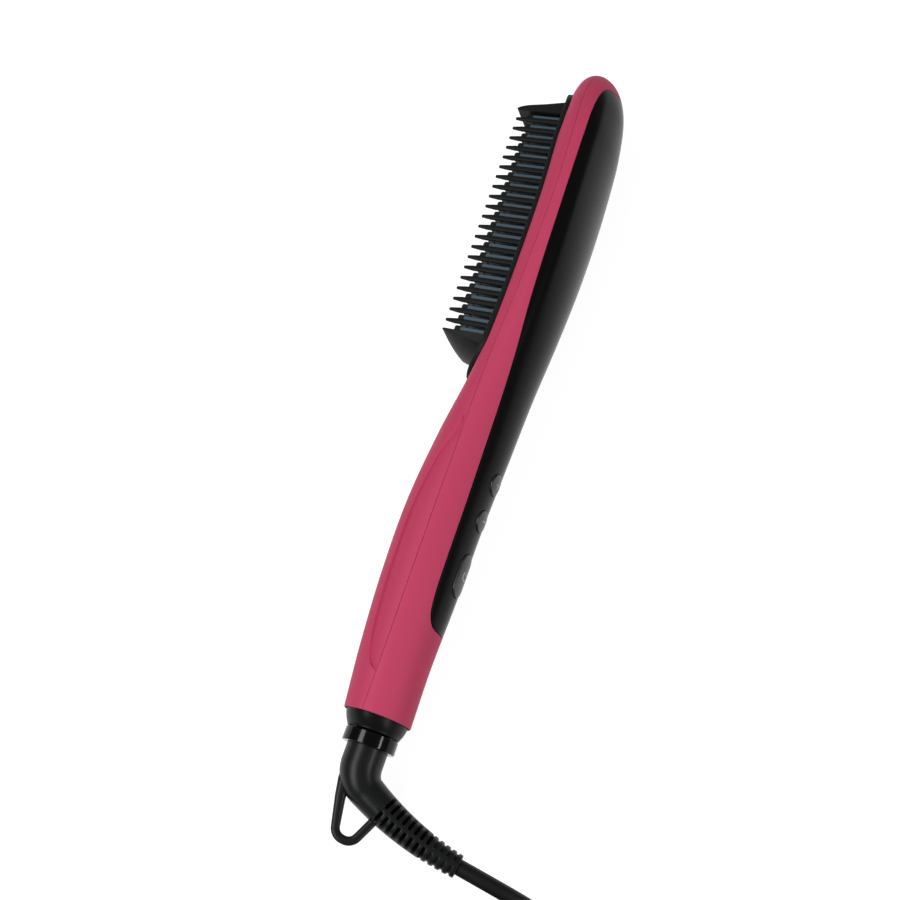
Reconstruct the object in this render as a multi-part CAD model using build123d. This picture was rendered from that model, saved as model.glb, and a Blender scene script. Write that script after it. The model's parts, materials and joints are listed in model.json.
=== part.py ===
# Hair straightening brush with a heated comb, a swivel cord exit and a put-away mains cord.
# Millimetres. The brush is modelled along Y, from the rim at the cord end (Y 0) to the tip,
# with its teeth towards -X, its glossy cover towards +X and its flanks at +Z and -Z.
# It is then laid on one flank, as it rests on a table, and moved so that its origin is
# at the middle of its footprint.
from build123d import *
import math
import os

# Body outline, seen from the flank and from the cover side
profile = [
    # along the body, front line, back line, half width
    (0.0, -12.3, 11.6, 13.0),
    (22.0, -14.6, 11.2, 14.3),
    (48.0, -16.3, 11.9, 15.9),
    (76.0, -16.5, 12.1, 17.0),
    (104.0, -13.8, 13.1, 17.3),
    (130.0, -9.4, 13.8, 17.6),
    (156.0, -6.9, 15.1, 18.8),
    (182.0, -5.8, 15.6, 20.4),
    (208.0, -5.8, 15.0, 21.4),
    (232.0, -7.6, 14.2, 21.4),
]
body_length = 268.0
flank_round = 0.78         # flank arc radius over half thickness
tip_centre_x = -1.4
tip_plan_length = 46.0     # over which the width rounds off to the tip
tip_plan_power = 2.1
tip_side_length = 20.5     # over which the thickness rounds off to the tip
tip_side_power = 2.2
tip_flat = 0.4             # the loft stops this short of the tip
tip_inset_share = 1.3      # and an inner layer stops this much of its inset sooner
section_step = 13.0        # most between the loft's sections
tip_sections = (0.28, 0.5, 0.68, 0.82, 0.92, 1.0)  # shares of the rounded tip

# Shells and cover
shell_wall = 2.6
cover_thickness = 1.6
cover_gap = 0.15
grip_depth = 0.6
grip_zone_ends = (5.0, 120.0)
grip_seam_x = 0.3
seam_line = [(-1.0, -1.1), (31.0, -0.4), (86.0, 0.2), (134.0, 0.5), (160.0, 2.3),
             (198.0, 4.0), (228.0, 3.0), (246.0, 1.0), (271.0, -1.2)]
cover_line = [(33.0, 11.6), (34.6, 10.1), (40.0, 8.9), (57.0, 8.6), (94.0, 8.8), (135.0, 9.1),
              (160.0, 8.5), (200.0, 8.2), (228.0, 7.5), (250.0, 6.4), (256.6, 7.4), (258.6, 10.6)]
grip_line = [(108.5, 0.3), (102.0, -2.3), (97.0, -5.0), (86.0, -7.4), (71.0, -9.2), (50.0, -9.4),
             (30.0, -8.3), (21.0, -6.6), (15.6, -3.8), (13.6, -0.9)]

# Comb
comb_start = 128.0
comb_end = 256.0
comb_half_width = 15.3
comb_corner = 13.0
comb_proud = 1.8           # flange above the shell
comb_back_x = -1.6         # plane of the flange's rear face
flange_before = 8.0        # its layer starts and ends past its outline
flange_after = 6.0
tooth_count = 21
tooth_pitch = 4.57
first_tooth_y = 146.4
tooth_root = 2.2
tooth_shoulder = 1.7
tooth_point = 0.5
tooth_point_length = 4.0
tooth_row_inner = 12.0
tooth_row_depth = 1.4
tooth_gap = 2.7            # free gap next to each end guard
tip_line_start = -23.3     # tooth tips at the first tooth
tip_line_end = -25.6       # and at the last tooth

# Heater
fin_thickness = 1.7
fin_below_tip = 4.4
fin_corner = 1.4
fin_side_gap = 0.15
fin_root_x = -3.8
heater_lip = 1.5
heater_lip_margin = 1.6
heater_margin = 0.3
element_length = 88.0
element_width = 15.0
element_thickness = 1.6
mica_margin = 2.0
mica_thickness = 0.5
clamp_thickness = 0.8
clamp_width = 12.0
clamp_screw_radius = 1.2
clamp_screw_head = 2.2
clamp_screw_head_height = 1.2
clamp_screw_share = 0.7    # of the heater's base that the screws enter
sensor_radius = 1.0
sensor_length = 7.0
fuse_radius = 1.9
fuse_length = 11.0

# Buttons and board
button_travel = 0.6
button_proud = 0.9
button_gap = 0.25
button_flange = 0.9
button_flange_thickness = 0.8
button_flange_drop = 0.4   # flange below the deepest shelf edge
small_button = 8.0
plus_y = 91.0
minus_y = 76.6
power_y = 55.6
power_length = 16.0
power_width = 8.0
stem_radius = 1.5
stem_entry = 0.4           # stem inside its switch at rest
stem_overlap = 0.1
button_zone_ends = (30.0, 120.0)
switch_side = 6.0
switch_height = 2.6
switch_bore_gap = 0.3
board_start = 47.0
board_end = 112.0
board_half_width = 8.0
board_thickness = 1.6
board_front_x = 2.1
post_radius = 2.2
post_inset = 6.0
board_screw_radius = 1.0
board_screw_head = 1.9
board_screw_head_height = 1.2
board_screw_depth = 3.0
capacitor_size = (7.0, 13.0, 11.0)
capacitor_y = 96.0
relay_size = (8.0, 15.0, 10.0)
relay_y = 66.0
terminal_size = (6.5, 8.0, 10.0)
terminal_y = 80.0

# Screws between the shells, under the cover
boss_radius = 3.3
screw_places = [(41.0, 0.0), (124.0, 8.0), (124.0, -8.0), (252.5, 0.0)]
screw_radius = 1.4
screw_gap = 0.05
screw_head_radius = 2.6
screw_head_height = 1.8
screw_head_gap = 0.1
screw_depth = 7.0          # into the front shell's boss

# Cord end: cap, swivel and boot
cap_length = 5.2
cap_inset = 1.0
cap_end_radius = 9.4
spigot_length = 5.0
spigot_wall = 1.8
spigot_gap = 0.1
cap_floor = 3.0
swivel_gap = 0.25
barrel_radius = 6.0
barrel_flange_radius = 7.6
barrel_flange_thickness = 1.8
barrel_end = 18.0
contact_core_radius = 4.5
ring_thickness = 0.7
ring_width = 2.6
ring_places = [7.0, 13.0]
collar_radius = 9.9
collar_length = 4.8
blade_thickness = 0.5
blade_width = 2.0
blade_length = 9.0
neck_radius = 7.2
neck_length = 5.2
elbow_radius = 9.7
elbow_turn = 60.6
relief_length = 38.6
relief_turn = 20.0
relief_start_radius = 6.1
relief_end_radius = 4.0
rib_count = 12
rib_depth = 0.7
rib_groove = ((0.12, 1.0), (0.42, 1.0), (0.55, 0.0), (0.98, 0.0))  # share of a pitch, share of the depth
elbow_steps = 8
loop_bar = 3.3
loop_points = [(-5.4, -21.0), (-3.6, -28.0), (-0.4, -40.2), (5.6, -40.9), (9.6, -33.0), (12.0, -26.5)]

# Mains cord as it lies on the table, in the finished object's own frame
cord_radius = 2.7
cord_straight = 15.0       # level where it leaves the boot
cord_route = [(62.5, -153.9, 12.0), (76.0, -157.5, 6.0), (89.5, -167.5, 3.85), (96.4, -184.0, 3.8)]
corner_share = 0.45        # of a run that an arc may take up at each end
coil_centre = (52.0, -205.0)
coil_lead = 6.0            # straight pieces at both ends of the coil
coil_floor = 3.8           # height of the lower layer's axis, on the tie
coil_inner = 20.4
coil_step = 6.0            # from turn to turn
coil_layer_step = 5.9
coil_turns_in = 4.0        # lower layer, inwards
coil_turns_climb = 0.5
coil_turns_out = 3.5       # upper layer, outwards
coil_least_gap = 0.4

# Tie round the coil
tie_angle = 152.0
tie_thickness = 0.9
tie_width = 6.0
tie_gap = 0.2
tie_tail = 14.0
tie_tail_width = 2.4
tie_lean = 24.0

# Plug: two round pins, flat moulded body
plug_turn = 26.0           # radius of the bend from the coil round to the plug
plug_offset = 51.6         # the plug's axis from the coil's centre
plug_relief_length = 16.0
plug_relief_radius = 5.0
plug_rings = [
    # from the face, width, thickness
    (0.0, 34.6, 13.7),
    (6.0, 33.8, 13.7),
    (13.0, 27.0, 13.6),
    (22.0, 18.0, 13.0),
    (31.0, 14.0, 12.0),
    (36.0, 12.6, 11.6),
]
plug_corner = 0.42         # corner radius over thickness
pin_radius = 2.0
pin_length = 19.0
pin_spacing = 18.6

# Resting on a table: which places along the body touch it
rest_head_y = 212.0
rest_handle_y = 76.0

# Small clearances, overlaps and the insides
seat_gap = 0.05
through = 1.0              # a cut runs this far past what it cuts
far_side = 40.0            # beyond either flank
far_front, far_back = -60.0, 60.0
post_z = 5.4
comb_margin = 0.4
screw_head_sink = 0.35
handle_guard = [(0.0, -22.4), (1.3, -23.1), (2.9, -22.0), (6.3, -18.0), (8.5, -12.4), (9.8, -7.0)]
tip_guard = [(0.0, -25.9), (0.7, -26.3), (1.6, -25.2), (2.6, -22.3), (3.8, -15.5), (5.6, -7.0)]
sensor_offset = 16.0
barrel_bore = 2.2
blade_gap = 0.1
block_length = 12.0
block_half_width = 6.0
loop_corner = 2.2
lead_radius = 0.7
lead_corner = 3.0
heater_lead_z = 2.4
heater_lead_turn = 14.0    # past the board's end
heater_lead_level = 8.0    # level into the element
mains_lead_z = 4.5
mains_lead_from = 22.0     # ahead of the board's start
mains_lead_to = 10.0
lead_past_screw = 1.0


def smooth(table, column, y):
    """A cubic curve through one column of a table of stations."""
    last = len(table) - 1
    slopes = []
    for k in range(last + 1):
        low, high = max(k - 1, 0), min(k + 1, last)
        slopes.append((table[high][column] - table[low][column]) / (table[high][0] - table[low][0]))
    k = 0
    while k < last - 1 and y > table[k + 1][0]:
        k += 1
    span = table[k + 1][0] - table[k][0]
    u = (y - table[k][0]) / span
    return ((2 * u**3 - 3 * u**2 + 1) * table[k][column] + (u**3 - 2 * u**2 + u) * span * slopes[k]
            + (-2 * u**3 + 3 * u**2) * table[k + 1][column] + (u**3 - u**2) * span * slopes[k + 1])


def round_off(y, length, power):
    """From 1 down to 0 at the tip, over a length, as a superellipse."""
    u = min(max((y - body_length + length) / length, 0.0), 1.0)
    return (1 - u**power) ** (1 / power)


def body_size(y):
    """Centre, half thickness and half width of the body's outside at a place along it."""
    level = min(y, profile[-1][0])
    front, back, half_width = (smooth(profile, column, level) for column in (1, 2, 3))
    centre = (front + back) / 2
    drift = max(y - profile[-1][0], 0.0) / (body_length - profile[-1][0])
    centre += (tip_centre_x - centre) * drift**1.5
    half_depth = (back - front) / 2 * round_off(y, tip_side_length, tip_side_power)
    return centre, half_depth, half_width * round_off(y, tip_plan_length, tip_plan_power)


def body_arcs(y, inset):
    """Centre, crown radius, flank radius, half depth and half width of the section, moved in by inset."""
    centre, half_depth, half_width = body_size(y)
    flank = flank_round * half_depth
    crown = ((half_width - flank)**2 + half_depth**2 - flank**2) / (2 * (half_depth - flank))
    return centre, crown - inset, flank - inset, half_depth - inset, half_width - inset


def four_arcs(y, centre, joint_x, joint_z, half_depth, half_width):
    """A closed line of four arcs across the body: back, near flank, front, far flank."""
    corners = [(joint_x, -joint_z), (joint_x, joint_z), (-joint_x, joint_z), (-joint_x, -joint_z)]
    middles = [(half_depth, 0), (0, half_width), (-half_depth, 0), (0, -half_width)]
    arcs = []
    for k, middle in enumerate(middles):
        start, end = corners[k], corners[(k + 1) % 4]
        arcs.append(ThreePointArc(*[(centre + x, y, z) for x, z in (start, middle, end)]))
    return Wire(arcs)


def oval(y, inset):
    """The body's section at a place along it: four tangent arcs."""
    centre, crown, flank, half_depth, half_width = body_arcs(y, inset)
    share = flank / (crown - flank)
    joint_x = share * (crown - half_depth)
    joint_z = (1 + share) * (half_width - flank)
    return four_arcs(y, centre, joint_x, joint_z, half_depth, half_width)


def body_layer(inset, start=0.0, end=body_length):
    """The solid inside the body's outside, moved in by inset, between two places along it."""
    end = min(end, body_length - tip_flat - tip_inset_share * max(inset, 0.0))
    bend = body_length - tip_side_length
    straight = min(end, bend) - start
    count = math.ceil(straight / section_step)
    places = [start + straight * k / count for k in range(count + 1)]
    if end > bend:
        places += [bend + (end - bend) * share for share in tip_sections]
    return Solid.make_loft([oval(y, inset) for y in places])


def flank_face(points, closing):
    """A face on the flank: a smooth line through points given as (along, depth), closed by straight lines."""
    line = [(x, y) for y, x in points]
    return make_face([Spline(*line), Polyline(line[-1], *[(x, y) for y, x in closing], line[0])])


def flank_prism(points, closing):
    """A shape drawn on the flank, through the whole width."""
    return extrude(flank_face(points, closing), far_side, both=True)


def plan_prism(sketch, low, high):
    """A shape drawn as seen from the cover side, along then across the body, between two depths."""
    return extrude(Plane(origin=(low, 0, 0), x_dir=(0, 1, 0), z_dir=(1, 0, 0)) * sketch, high - low)


def rod(y, z, radius, low, high):
    """A round bar across the body's depth."""
    return plan_prism(Pos(y, z) * Circle(radius), low, high)


def turned(radius, start, end):
    """A round bar along the body's axis."""
    return Pos(0, (start + end) / 2, 0) * Rot(90, 0, 0) * Cylinder(radius, end - start)


def block(low, size):
    """A box from its lowest corner."""
    return Pos(*[a + b / 2 for a, b in zip(low, size)]) * Box(*size)


def back_at(y, inset=0.0, z=0.0):
    """Depth of the back surface, moved in by inset, at a place along and across the body."""
    centre, crown, flank, half_depth, half_width = body_arcs(y, inset)
    return centre + half_depth - crown + math.sqrt(crown**2 - z**2)


def front_at(y, inset=0.0, z=0.0):
    """Depth of the front surface, moved in by inset."""
    centre, crown, flank, half_depth, half_width = body_arcs(y, inset)
    return centre - half_depth + crown - math.sqrt(crown**2 - z**2)


def seam_at(y):
    return smooth(seam_line, 1, y)


def tooth_tip_at(y):
    """Depth of the comb's tips at a place along it."""
    span = (tooth_count - 1) * tooth_pitch
    return tip_line_start + (tip_line_end - tip_line_start) * (y - first_tooth_y) / span


def tube(points, radius, corner):
    """A wire along straight runs joined by arcs."""
    path = FilletPolyline(*points, radius=corner)
    start = Plane(origin=points[0], z_dir=Vector(*points[1]) - Vector(*points[0]))
    return sweep(start * Circle(radius), path=path)


pieces = {}

# Layers shared by the shells, the cover and the comb's flange
outside = body_layer(0.0)
cavity = body_layer(shell_wall)
cover_back = body_layer(cover_thickness)
cover_seat = body_layer(cover_thickness + seat_gap)
seam_start, seam_end = seam_line[0][0], seam_line[-1][0]
front_zone = flank_prism(seam_line, [(seam_end, far_front), (seam_start, far_front)])


def cover_zone(gap):
    """The cover's region on the flank, widened by a gap."""
    middle = (cover_line[0][0] + cover_line[-1][0]) / 2
    line = [(y - gap if y < middle else y + gap, x - gap) for y, x in cover_line]
    return flank_prism(line, [(line[-1][0], far_back), (line[0][0], far_back)])


# Openings for the buttons, drawn as seen from the cover side
buttons = {
    "power_button": (power_y, SlotOverall(power_length, power_width), power_width),
    "minus_button": (minus_y, Circle(small_button / 2), small_button),
    "plus_button": (plus_y, Circle(small_button / 2), small_button),
}
button_holes = [plan_prism(Pos(y, 0) * offset(shape, button_gap), 0.0, far_back)
                for y, shape, width in buttons.values()]

# Front shell, on the tooth side
front_shell = (outside & front_zone) - cavity
comb_middle = (comb_start + comb_end) / 2
comb_length = comb_end - comb_start


def comb_outline(margin):
    return Pos(comb_middle, 0) * RectangleRounded(
        comb_length + 2 * margin, 2 * (comb_half_width + margin), comb_corner + margin)


tooth_places = [first_tooth_y + k * tooth_pitch for k in range(tooth_count)]
guard_edges = [(tooth_places[0] - tooth_root / 2 - tooth_gap, -1, handle_guard),
               (tooth_places[-1] + tooth_root / 2 + tooth_gap, 1, tip_guard)]
heater_middle = (guard_edges[0][0] + guard_edges[1][0]) / 2
heater_length = guard_edges[1][0] - guard_edges[0][0] - 2 * heater_margin


def heater_outline(margin):
    return Pos(heater_middle, 0) * Rectangle(heater_length + 2 * margin, 2 * (fin_half_width + margin))


fin_half_width = tooth_row_inner - fin_side_gap
heater_back_x = comb_back_x + heater_lip
front_shell -= plan_prism(comb_outline(cover_gap), far_front, comb_back_x)
front_shell -= plan_prism(heater_outline(heater_lip_margin + heater_margin), far_front, seam_at(comb_middle))
grip_zone = flank_prism(grip_line, [(grip_line[-1][0], grip_seam_x)])
front_shell -= (outside - body_layer(grip_depth, *grip_zone_ends)) & grip_zone

board_back_x = board_front_x + board_thickness
post_places = [(board_start + post_inset, post_z), (board_start + post_inset, -post_z),
               (board_end - post_inset, post_z), (board_end - post_inset, -post_z)]
for y, z in post_places:
    front_shell += rod(y, z, post_radius, front_at(y, shell_wall / 2, z), board_front_x)
for y, z in screw_places[:-1]:
    front_shell += rod(y, z, boss_radius, front_at(y, shell_wall / 2, z), seam_at(y)) & front_zone

# Rear shell, with a seat for the cover
rear_shell = outside - front_zone - cavity
rear_shell -= (outside - cover_seat) & cover_zone(cover_gap)
for k, (y, z) in enumerate(screw_places):
    low = comb_back_x if k == len(screw_places) - 1 else seam_at(y)
    post = rod(y, z, boss_radius, low, back_at(y, cover_thickness, z) + through) & cover_seat
    rear_shell += post if low == comb_back_x else post - front_zone
for hole in button_holes:
    rear_shell -= hole

# Screws between the shells: the last one holds the comb frame
shell_screws = []
for k, (y, z) in enumerate(screw_places):
    floor = comb_back_x if k == len(screw_places) - 1 else seam_at(y)
    edge_z = abs(z) + screw_head_radius
    roof = min(back_at(y + side * screw_head_radius, cover_thickness, edge_z) for side in (-1, 1))
    seat = roof - screw_head_sink - screw_head_height
    tip = floor - screw_depth
    head = rod(y, z, screw_head_radius, seat, seat + screw_head_height)
    shell_screws.append(rod(y, z, screw_radius, tip, seat) + head)
    rear_shell -= rod(y, z, screw_radius + screw_gap, floor - through, seat + through)
    rear_shell -= rod(y, z, screw_head_radius + screw_head_gap, seat, far_back)
    if k < len(screw_places) - 1:
        front_shell -= rod(y, z, screw_radius + screw_gap, tip - screw_gap, floor + through)

# Glossy cover
back_cover = (outside - cover_back) & cover_zone(0.0)
for hole in button_holes:
    back_cover -= hole

# Comb frame: a flange on the front shell, two rows of teeth and a guard at each end
flange = body_layer(-comb_proud, comb_start - flange_before, comb_end + flange_after)
comb_frame = flange & plan_prism(comb_outline(0.0), far_front, comb_back_x)
comb_frame -= plan_prism(heater_outline(heater_margin), far_front, 0.0)
row_outer = tooth_row_inner + tooth_row_depth
comb_parts = []
for y in tooth_places:
    tip = tooth_tip_at(y)
    shoulder = tip + tooth_point_length
    outline = Polyline((comb_back_x, y - tooth_root / 2), (shoulder, y - tooth_shoulder / 2),
                       (tip, y - tooth_point / 2), (tip, y + tooth_point / 2),
                       (shoulder, y + tooth_shoulder / 2), (comb_back_x, y + tooth_root / 2), close=True)
    for z in (tooth_row_inner, -row_outer):
        comb_parts.append(Pos(0, 0, z) * extrude(make_face(outline), tooth_row_depth))
for edge, way, outer in guard_edges:
    line = [(x, edge + way * out) for out, x in outer]
    straights = Polyline(line[-1], (comb_back_x, line[-1][1]), (comb_back_x, edge), line[0])
    guard = extrude(make_face([Spline(*line), straights]), row_outer, both=True)
    comb_parts.append(guard & plan_prism(comb_outline(-comb_margin), far_front, comb_back_x))
comb_frame = comb_frame + comb_parts
y, z = screw_places[-1]
comb_frame -= rod(y, z, screw_radius + screw_gap, comb_back_x - screw_depth - screw_gap, 0.0)

# Heater: a base in the frame's window, a lip behind it and a fin on each side of every pair of teeth
heater = plan_prism(heater_outline(0.0), fin_root_x, heater_back_x)
heater += plan_prism(heater_outline(heater_lip_margin), comb_back_x, heater_back_x)
fin_places = [first_tooth_y + (k - 0.5) * tooth_pitch for k in range(tooth_count + 1)]
fins = []
for y in fin_places:
    top = tooth_tip_at(y) + fin_below_tip
    face = RectangleRounded(comb_back_x - top, 2 * fin_half_width, fin_corner)
    face = Pos((top + comb_back_x) / 2, 0) * face
    face += Pos((fin_root_x + comb_back_x) / 2, 0) * Rectangle(comb_back_x - fin_root_x, 2 * fin_half_width)
    side_plane = Plane(origin=(0, y + fin_thickness / 2, 0), x_dir=(1, 0, 0), z_dir=(0, -1, 0))
    fins.append(extrude(side_plane * face, fin_thickness))
heater = heater + fins

# Behind the heater: element, insulation, spring clamp and sensors
element = block((heater_back_x, heater_middle - element_length / 2, -element_width / 2),
                (element_thickness, element_length, element_width))
mica_x = heater_back_x + element_thickness
mica_length = element_length + 2 * mica_margin
mica = block((mica_x, heater_middle - mica_length / 2, -element_width / 2 - mica_margin),
             (mica_thickness, mica_length, element_width + 2 * mica_margin))
clamp_x = mica_x + mica_thickness
clamp_reach = mica_length / 2 + clamp_screw_head
clamp_length = 2 * (clamp_reach + clamp_screw_head)
clamp = block((clamp_x, heater_middle - clamp_length / 2, -clamp_width / 2),
              (clamp_thickness, clamp_length, clamp_width))
sensor_x = clamp_x + clamp_thickness
clamp_screws = []
for y in (heater_middle - clamp_reach, heater_middle + clamp_reach):
    low = heater_back_x - (heater_back_x - fin_root_x) * clamp_screw_share
    clamp_screws.append(rod(y, 0, clamp_screw_radius, low, sensor_x)
                        + rod(y, 0, clamp_screw_head, sensor_x, sensor_x + clamp_screw_head_height))
    heater -= rod(y, 0, clamp_screw_radius + screw_gap, low - screw_gap, 0.0)
    clamp -= rod(y, 0, clamp_screw_radius + screw_gap, 0.0, far_back)
thermistor = turned(sensor_radius, 0, sensor_length)
thermistor = Pos(sensor_x + sensor_radius, heater_middle - sensor_offset, 0) * thermistor
thermal_fuse = turned(fuse_radius, 0, fuse_length)
thermal_fuse = Pos(sensor_x + fuse_radius, heater_middle + sensor_offset, 0) * thermal_fuse

# Board with its parts, and the buttons above it
board = block((board_front_x, board_start, -board_half_width),
              (board_thickness, board_end - board_start, 2 * board_half_width))
board_screws = []
for y, z in post_places:
    low = board_front_x - board_screw_depth
    board_screws.append(rod(y, z, board_screw_radius, low, board_back_x)
                        + rod(y, z, board_screw_head, board_back_x, board_back_x + board_screw_head_height))
    board -= rod(y, z, board_screw_radius + screw_gap, 0.0, far_back)
    front_shell -= rod(y, z, board_screw_radius + screw_gap, low - screw_gap, board_front_x + through)


def under_board(size, y):
    """A part on the board's tooth side."""
    return block((board_front_x - size[0], y - size[1] / 2, -size[2] / 2), size)


switch_top = board_back_x + switch_height
button_skin = body_layer(-button_proud, *button_zone_ends)
switches = []
for name, (y, shape, width) in buttons.items():
    switch = block((board_back_x, y - switch_side / 2, -switch_side / 2),
                   (switch_height, switch_side, switch_side))
    bore = stem_entry + button_travel + switch_bore_gap
    switch -= rod(y, 0, stem_radius + switch_bore_gap, switch_top - bore, switch_top + through)
    switches.append(switch)
    flange_top = back_at(y, shell_wall, width / 2 + button_flange) - button_flange_drop
    flange_low = flange_top - button_flange_thickness
    cap = plan_prism(Pos(y, 0) * shape, flange_low, far_back) & button_skin
    cap += plan_prism(Pos(y, 0) * offset(shape, button_flange), flange_low, flange_top)
    pieces[name] = cap + rod(y, 0, stem_radius, switch_top - stem_entry, flange_low + stem_overlap)
    print(name, "free travel over the switch", round(flange_low - switch_top, 2))

# Swivel: the cap on the rim, the turning barrel with its contact rings, and the collar
cap_rim = oval(0.0, cap_inset)
half = cap_end_radius / math.sqrt(2)
cap_nose = four_arcs(-cap_length, 0.0, half, half, cap_end_radius, cap_end_radius)
end_cap = Solid.make_loft([cap_nose, cap_rim], ruled=True)
end_cap += body_layer(shell_wall + spigot_gap, 0.0, spigot_length)
end_cap -= body_layer(shell_wall + spigot_gap + spigot_wall, 0.0, spigot_length)
flange_low_y = -cap_length + cap_floor
end_cap -= turned(barrel_flange_radius + swivel_gap, flange_low_y, spigot_length)
end_cap -= turned(barrel_radius + swivel_gap, -2 * cap_length, flange_low_y)
collar_start = -cap_length - swivel_gap
collar_end = collar_start - collar_length
flange_top_y = flange_low_y + swivel_gap + barrel_flange_thickness
barrel = turned(barrel_radius, collar_end, flange_low_y + swivel_gap)
barrel += turned(barrel_flange_radius, flange_low_y + swivel_gap, flange_top_y)
barrel += turned(contact_core_radius, flange_top_y, barrel_end)
barrel -= turned(barrel_bore, collar_end, barrel_end)
contact_rings = []
contact_blades = []
ring_radius = contact_core_radius + ring_thickness
for y in ring_places:
    ring = turned(ring_radius, y, y + ring_width)
    contact_rings.append(ring - turned(contact_core_radius, y, y + ring_width))
    blade_y = y + (ring_width - blade_width) / 2
    contact_blades.append(block((ring_radius + blade_gap, blade_y, -blade_length / 2),
                                (blade_thickness, blade_width, blade_length)))
block_x = ring_radius + blade_gap + blade_thickness
contact_block = block((block_x, spigot_length + swivel_gap, -block_half_width),
                      (far_back, block_length, 2 * block_half_width)) & cavity
collar = turned(collar_radius, collar_end, collar_start)
collar -= turned(barrel_radius + screw_gap, collar_end, collar_start)

# Boot: neck, elbow, and a ribbed relief that keeps bending, with the hanging loop moulded on
elbow_start = -collar_end + neck_length
elbow_length = math.radians(elbow_turn) * elbow_radius


def boot_point(s):
    """Place and direction of the boot's centre line after a length s from the elbow's start."""
    turn = min(s, elbow_length) / elbow_radius
    across = elbow_radius * (1 - math.cos(turn))
    down = elbow_start + elbow_radius * math.sin(turn)
    if s > elbow_length:
        radius = relief_length / math.radians(relief_turn)
        after = turn + (s - elbow_length) / radius
        across += radius * (math.cos(turn) - math.cos(after))
        down += radius * (math.sin(after) - math.sin(turn))
        turn = after
    return across, -down, turn


def boot_ring(s, radius):
    """A circle square to the boot's centre line."""
    across, y, turn = boot_point(s)
    plane = Plane(origin=(across, y, 0), x_dir=(0, 0, 1), z_dir=(math.sin(turn), -math.cos(turn), 0))
    return Wire.make_circle(radius, plane)


neck_plane = Plane(origin=(0, collar_end, 0), x_dir=(0, 0, 1), z_dir=(0, -1, 0))
boot_rings = [Wire.make_circle(neck_radius, neck_plane)]
for k in range(elbow_steps + 1):
    share = k / elbow_steps
    radius = neck_radius + (relief_start_radius - neck_radius) * share**2
    boot_rings.append(boot_ring(elbow_length * share, radius))
rib_pitch = relief_length / rib_count
for k in range(rib_count):
    for share, depth_share in rib_groove:
        s = (k + share) * rib_pitch
        radius = relief_start_radius + (relief_end_radius - relief_start_radius) * s / relief_length
        boot_rings.append(boot_ring(elbow_length + s, radius - rib_depth * depth_share))
boot_rings.append(boot_ring(elbow_length + relief_length, relief_end_radius))
boot = Solid.make_loft(boot_rings, ruled=True)
loop = tube([(x, y, 0) for x, y in loop_points], loop_bar / 2, loop_corner)

# How the brush lies: on one flank of its head, on the tips below it, and on its handle
centre, crown, flank, half_depth, half_width = body_arcs(rest_head_y, 0.0)
tip_across = row_outer - half_width + flank
tip_depth = centre - tooth_tip_at(rest_head_y)
roll = math.asin(flank / math.hypot(tip_depth, tip_across)) - math.atan2(tip_across, tip_depth)


def drop_at(y):
    """How far the rolled body reaches below its axis at a place along it."""
    centre, crown, flank, half_depth, half_width = body_arcs(y, 0.0)
    return (half_width - flank) * math.cos(roll) + flank - centre * math.sin(roll)


pitch = math.atan2(drop_at(rest_head_y) - drop_at(rest_handle_y), rest_head_y - rest_handle_y)
cord_boot = Rot(0, math.degrees(roll), 0) * (boot + loop)
laid = Rot(math.degrees(pitch), 0, 0) * Rot(0, -math.degrees(roll), 0)
print("roll", math.degrees(roll), "pitch", math.degrees(pitch))

# Wires inside
lead_x = board_back_x + lead_radius + screw_gap
element_end = heater_middle - element_length / 2
element_mid_x = heater_back_x + element_thickness / 2
heater_leads = []
mains_leads = []
for side in (-1, 1):
    z = side * heater_lead_z
    heater_line = [(lead_x, board_end - post_inset - board_screw_head - lead_past_screw, z),
                   (lead_x, board_end + heater_lead_turn, z),
                   (element_mid_x, element_end - heater_lead_level, z), (element_mid_x, element_end, z)]
    heater_leads.append(tube(heater_line, lead_radius, lead_corner))
    z = side * mains_lead_z
    mains_line = [(block_x + lead_radius, spigot_length + swivel_gap + block_length, z),
                  (block_x + lead_radius, board_start - mains_lead_from, z),
                  (lead_x, board_start - mains_lead_to, z),
                  (lead_x, board_start + post_inset - board_screw_head - lead_past_screw / 2, z)]
    mains_leads.append(tube(mains_line, lead_radius, lead_corner))

pieces.update({
    "front_shell": front_shell, "rear_shell": rear_shell, "back_cover": back_cover,
    "shell_screws": shell_screws,
    "comb_frame": comb_frame, "heater_comb": heater, "heating_element": element, "mica_sheet": mica,
    "heater_clamp": clamp, "clamp_screws": clamp_screws,
    "thermistor": thermistor, "thermal_fuse": thermal_fuse,
    "circuit_board": board, "board_screws": board_screws, "tact_switches": switches,
    "filter_capacitor": under_board(capacitor_size, capacitor_y), "relay": under_board(relay_size, relay_y),
    "terminal_block": under_board(terminal_size, terminal_y),
    "heater_leads": heater_leads, "mains_leads": mains_leads,
    "end_cap": end_cap, "swivel_barrel": barrel,
    "contact_rings": contact_rings, "contact_blades": contact_blades,
    "contact_block": contact_block, "swivel_collar": collar, "cord_boot": cord_boot,
})


def solids_of(shape):
    """All the solids of a piece, or of a list of pieces."""
    return [solid for item in (shape if isinstance(shape, list) else [shape]) for solid in item.solids()]


laid_pieces = {name: laid * Compound(solids_of(shape)) for name, shape in pieces.items()}
box = Compound([solid for shape in laid_pieces.values() for solid in shape.solids()]).bounding_box()
to_origin = Pos(-(box.min.X + box.max.X) / 2, -(box.min.Y + box.max.Y) / 2, -box.min.Z)
print("box", box.size, "moved by", to_origin.position)
row_pieces = {name: to_origin * shape for name, shape in laid_pieces.items()}

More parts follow.
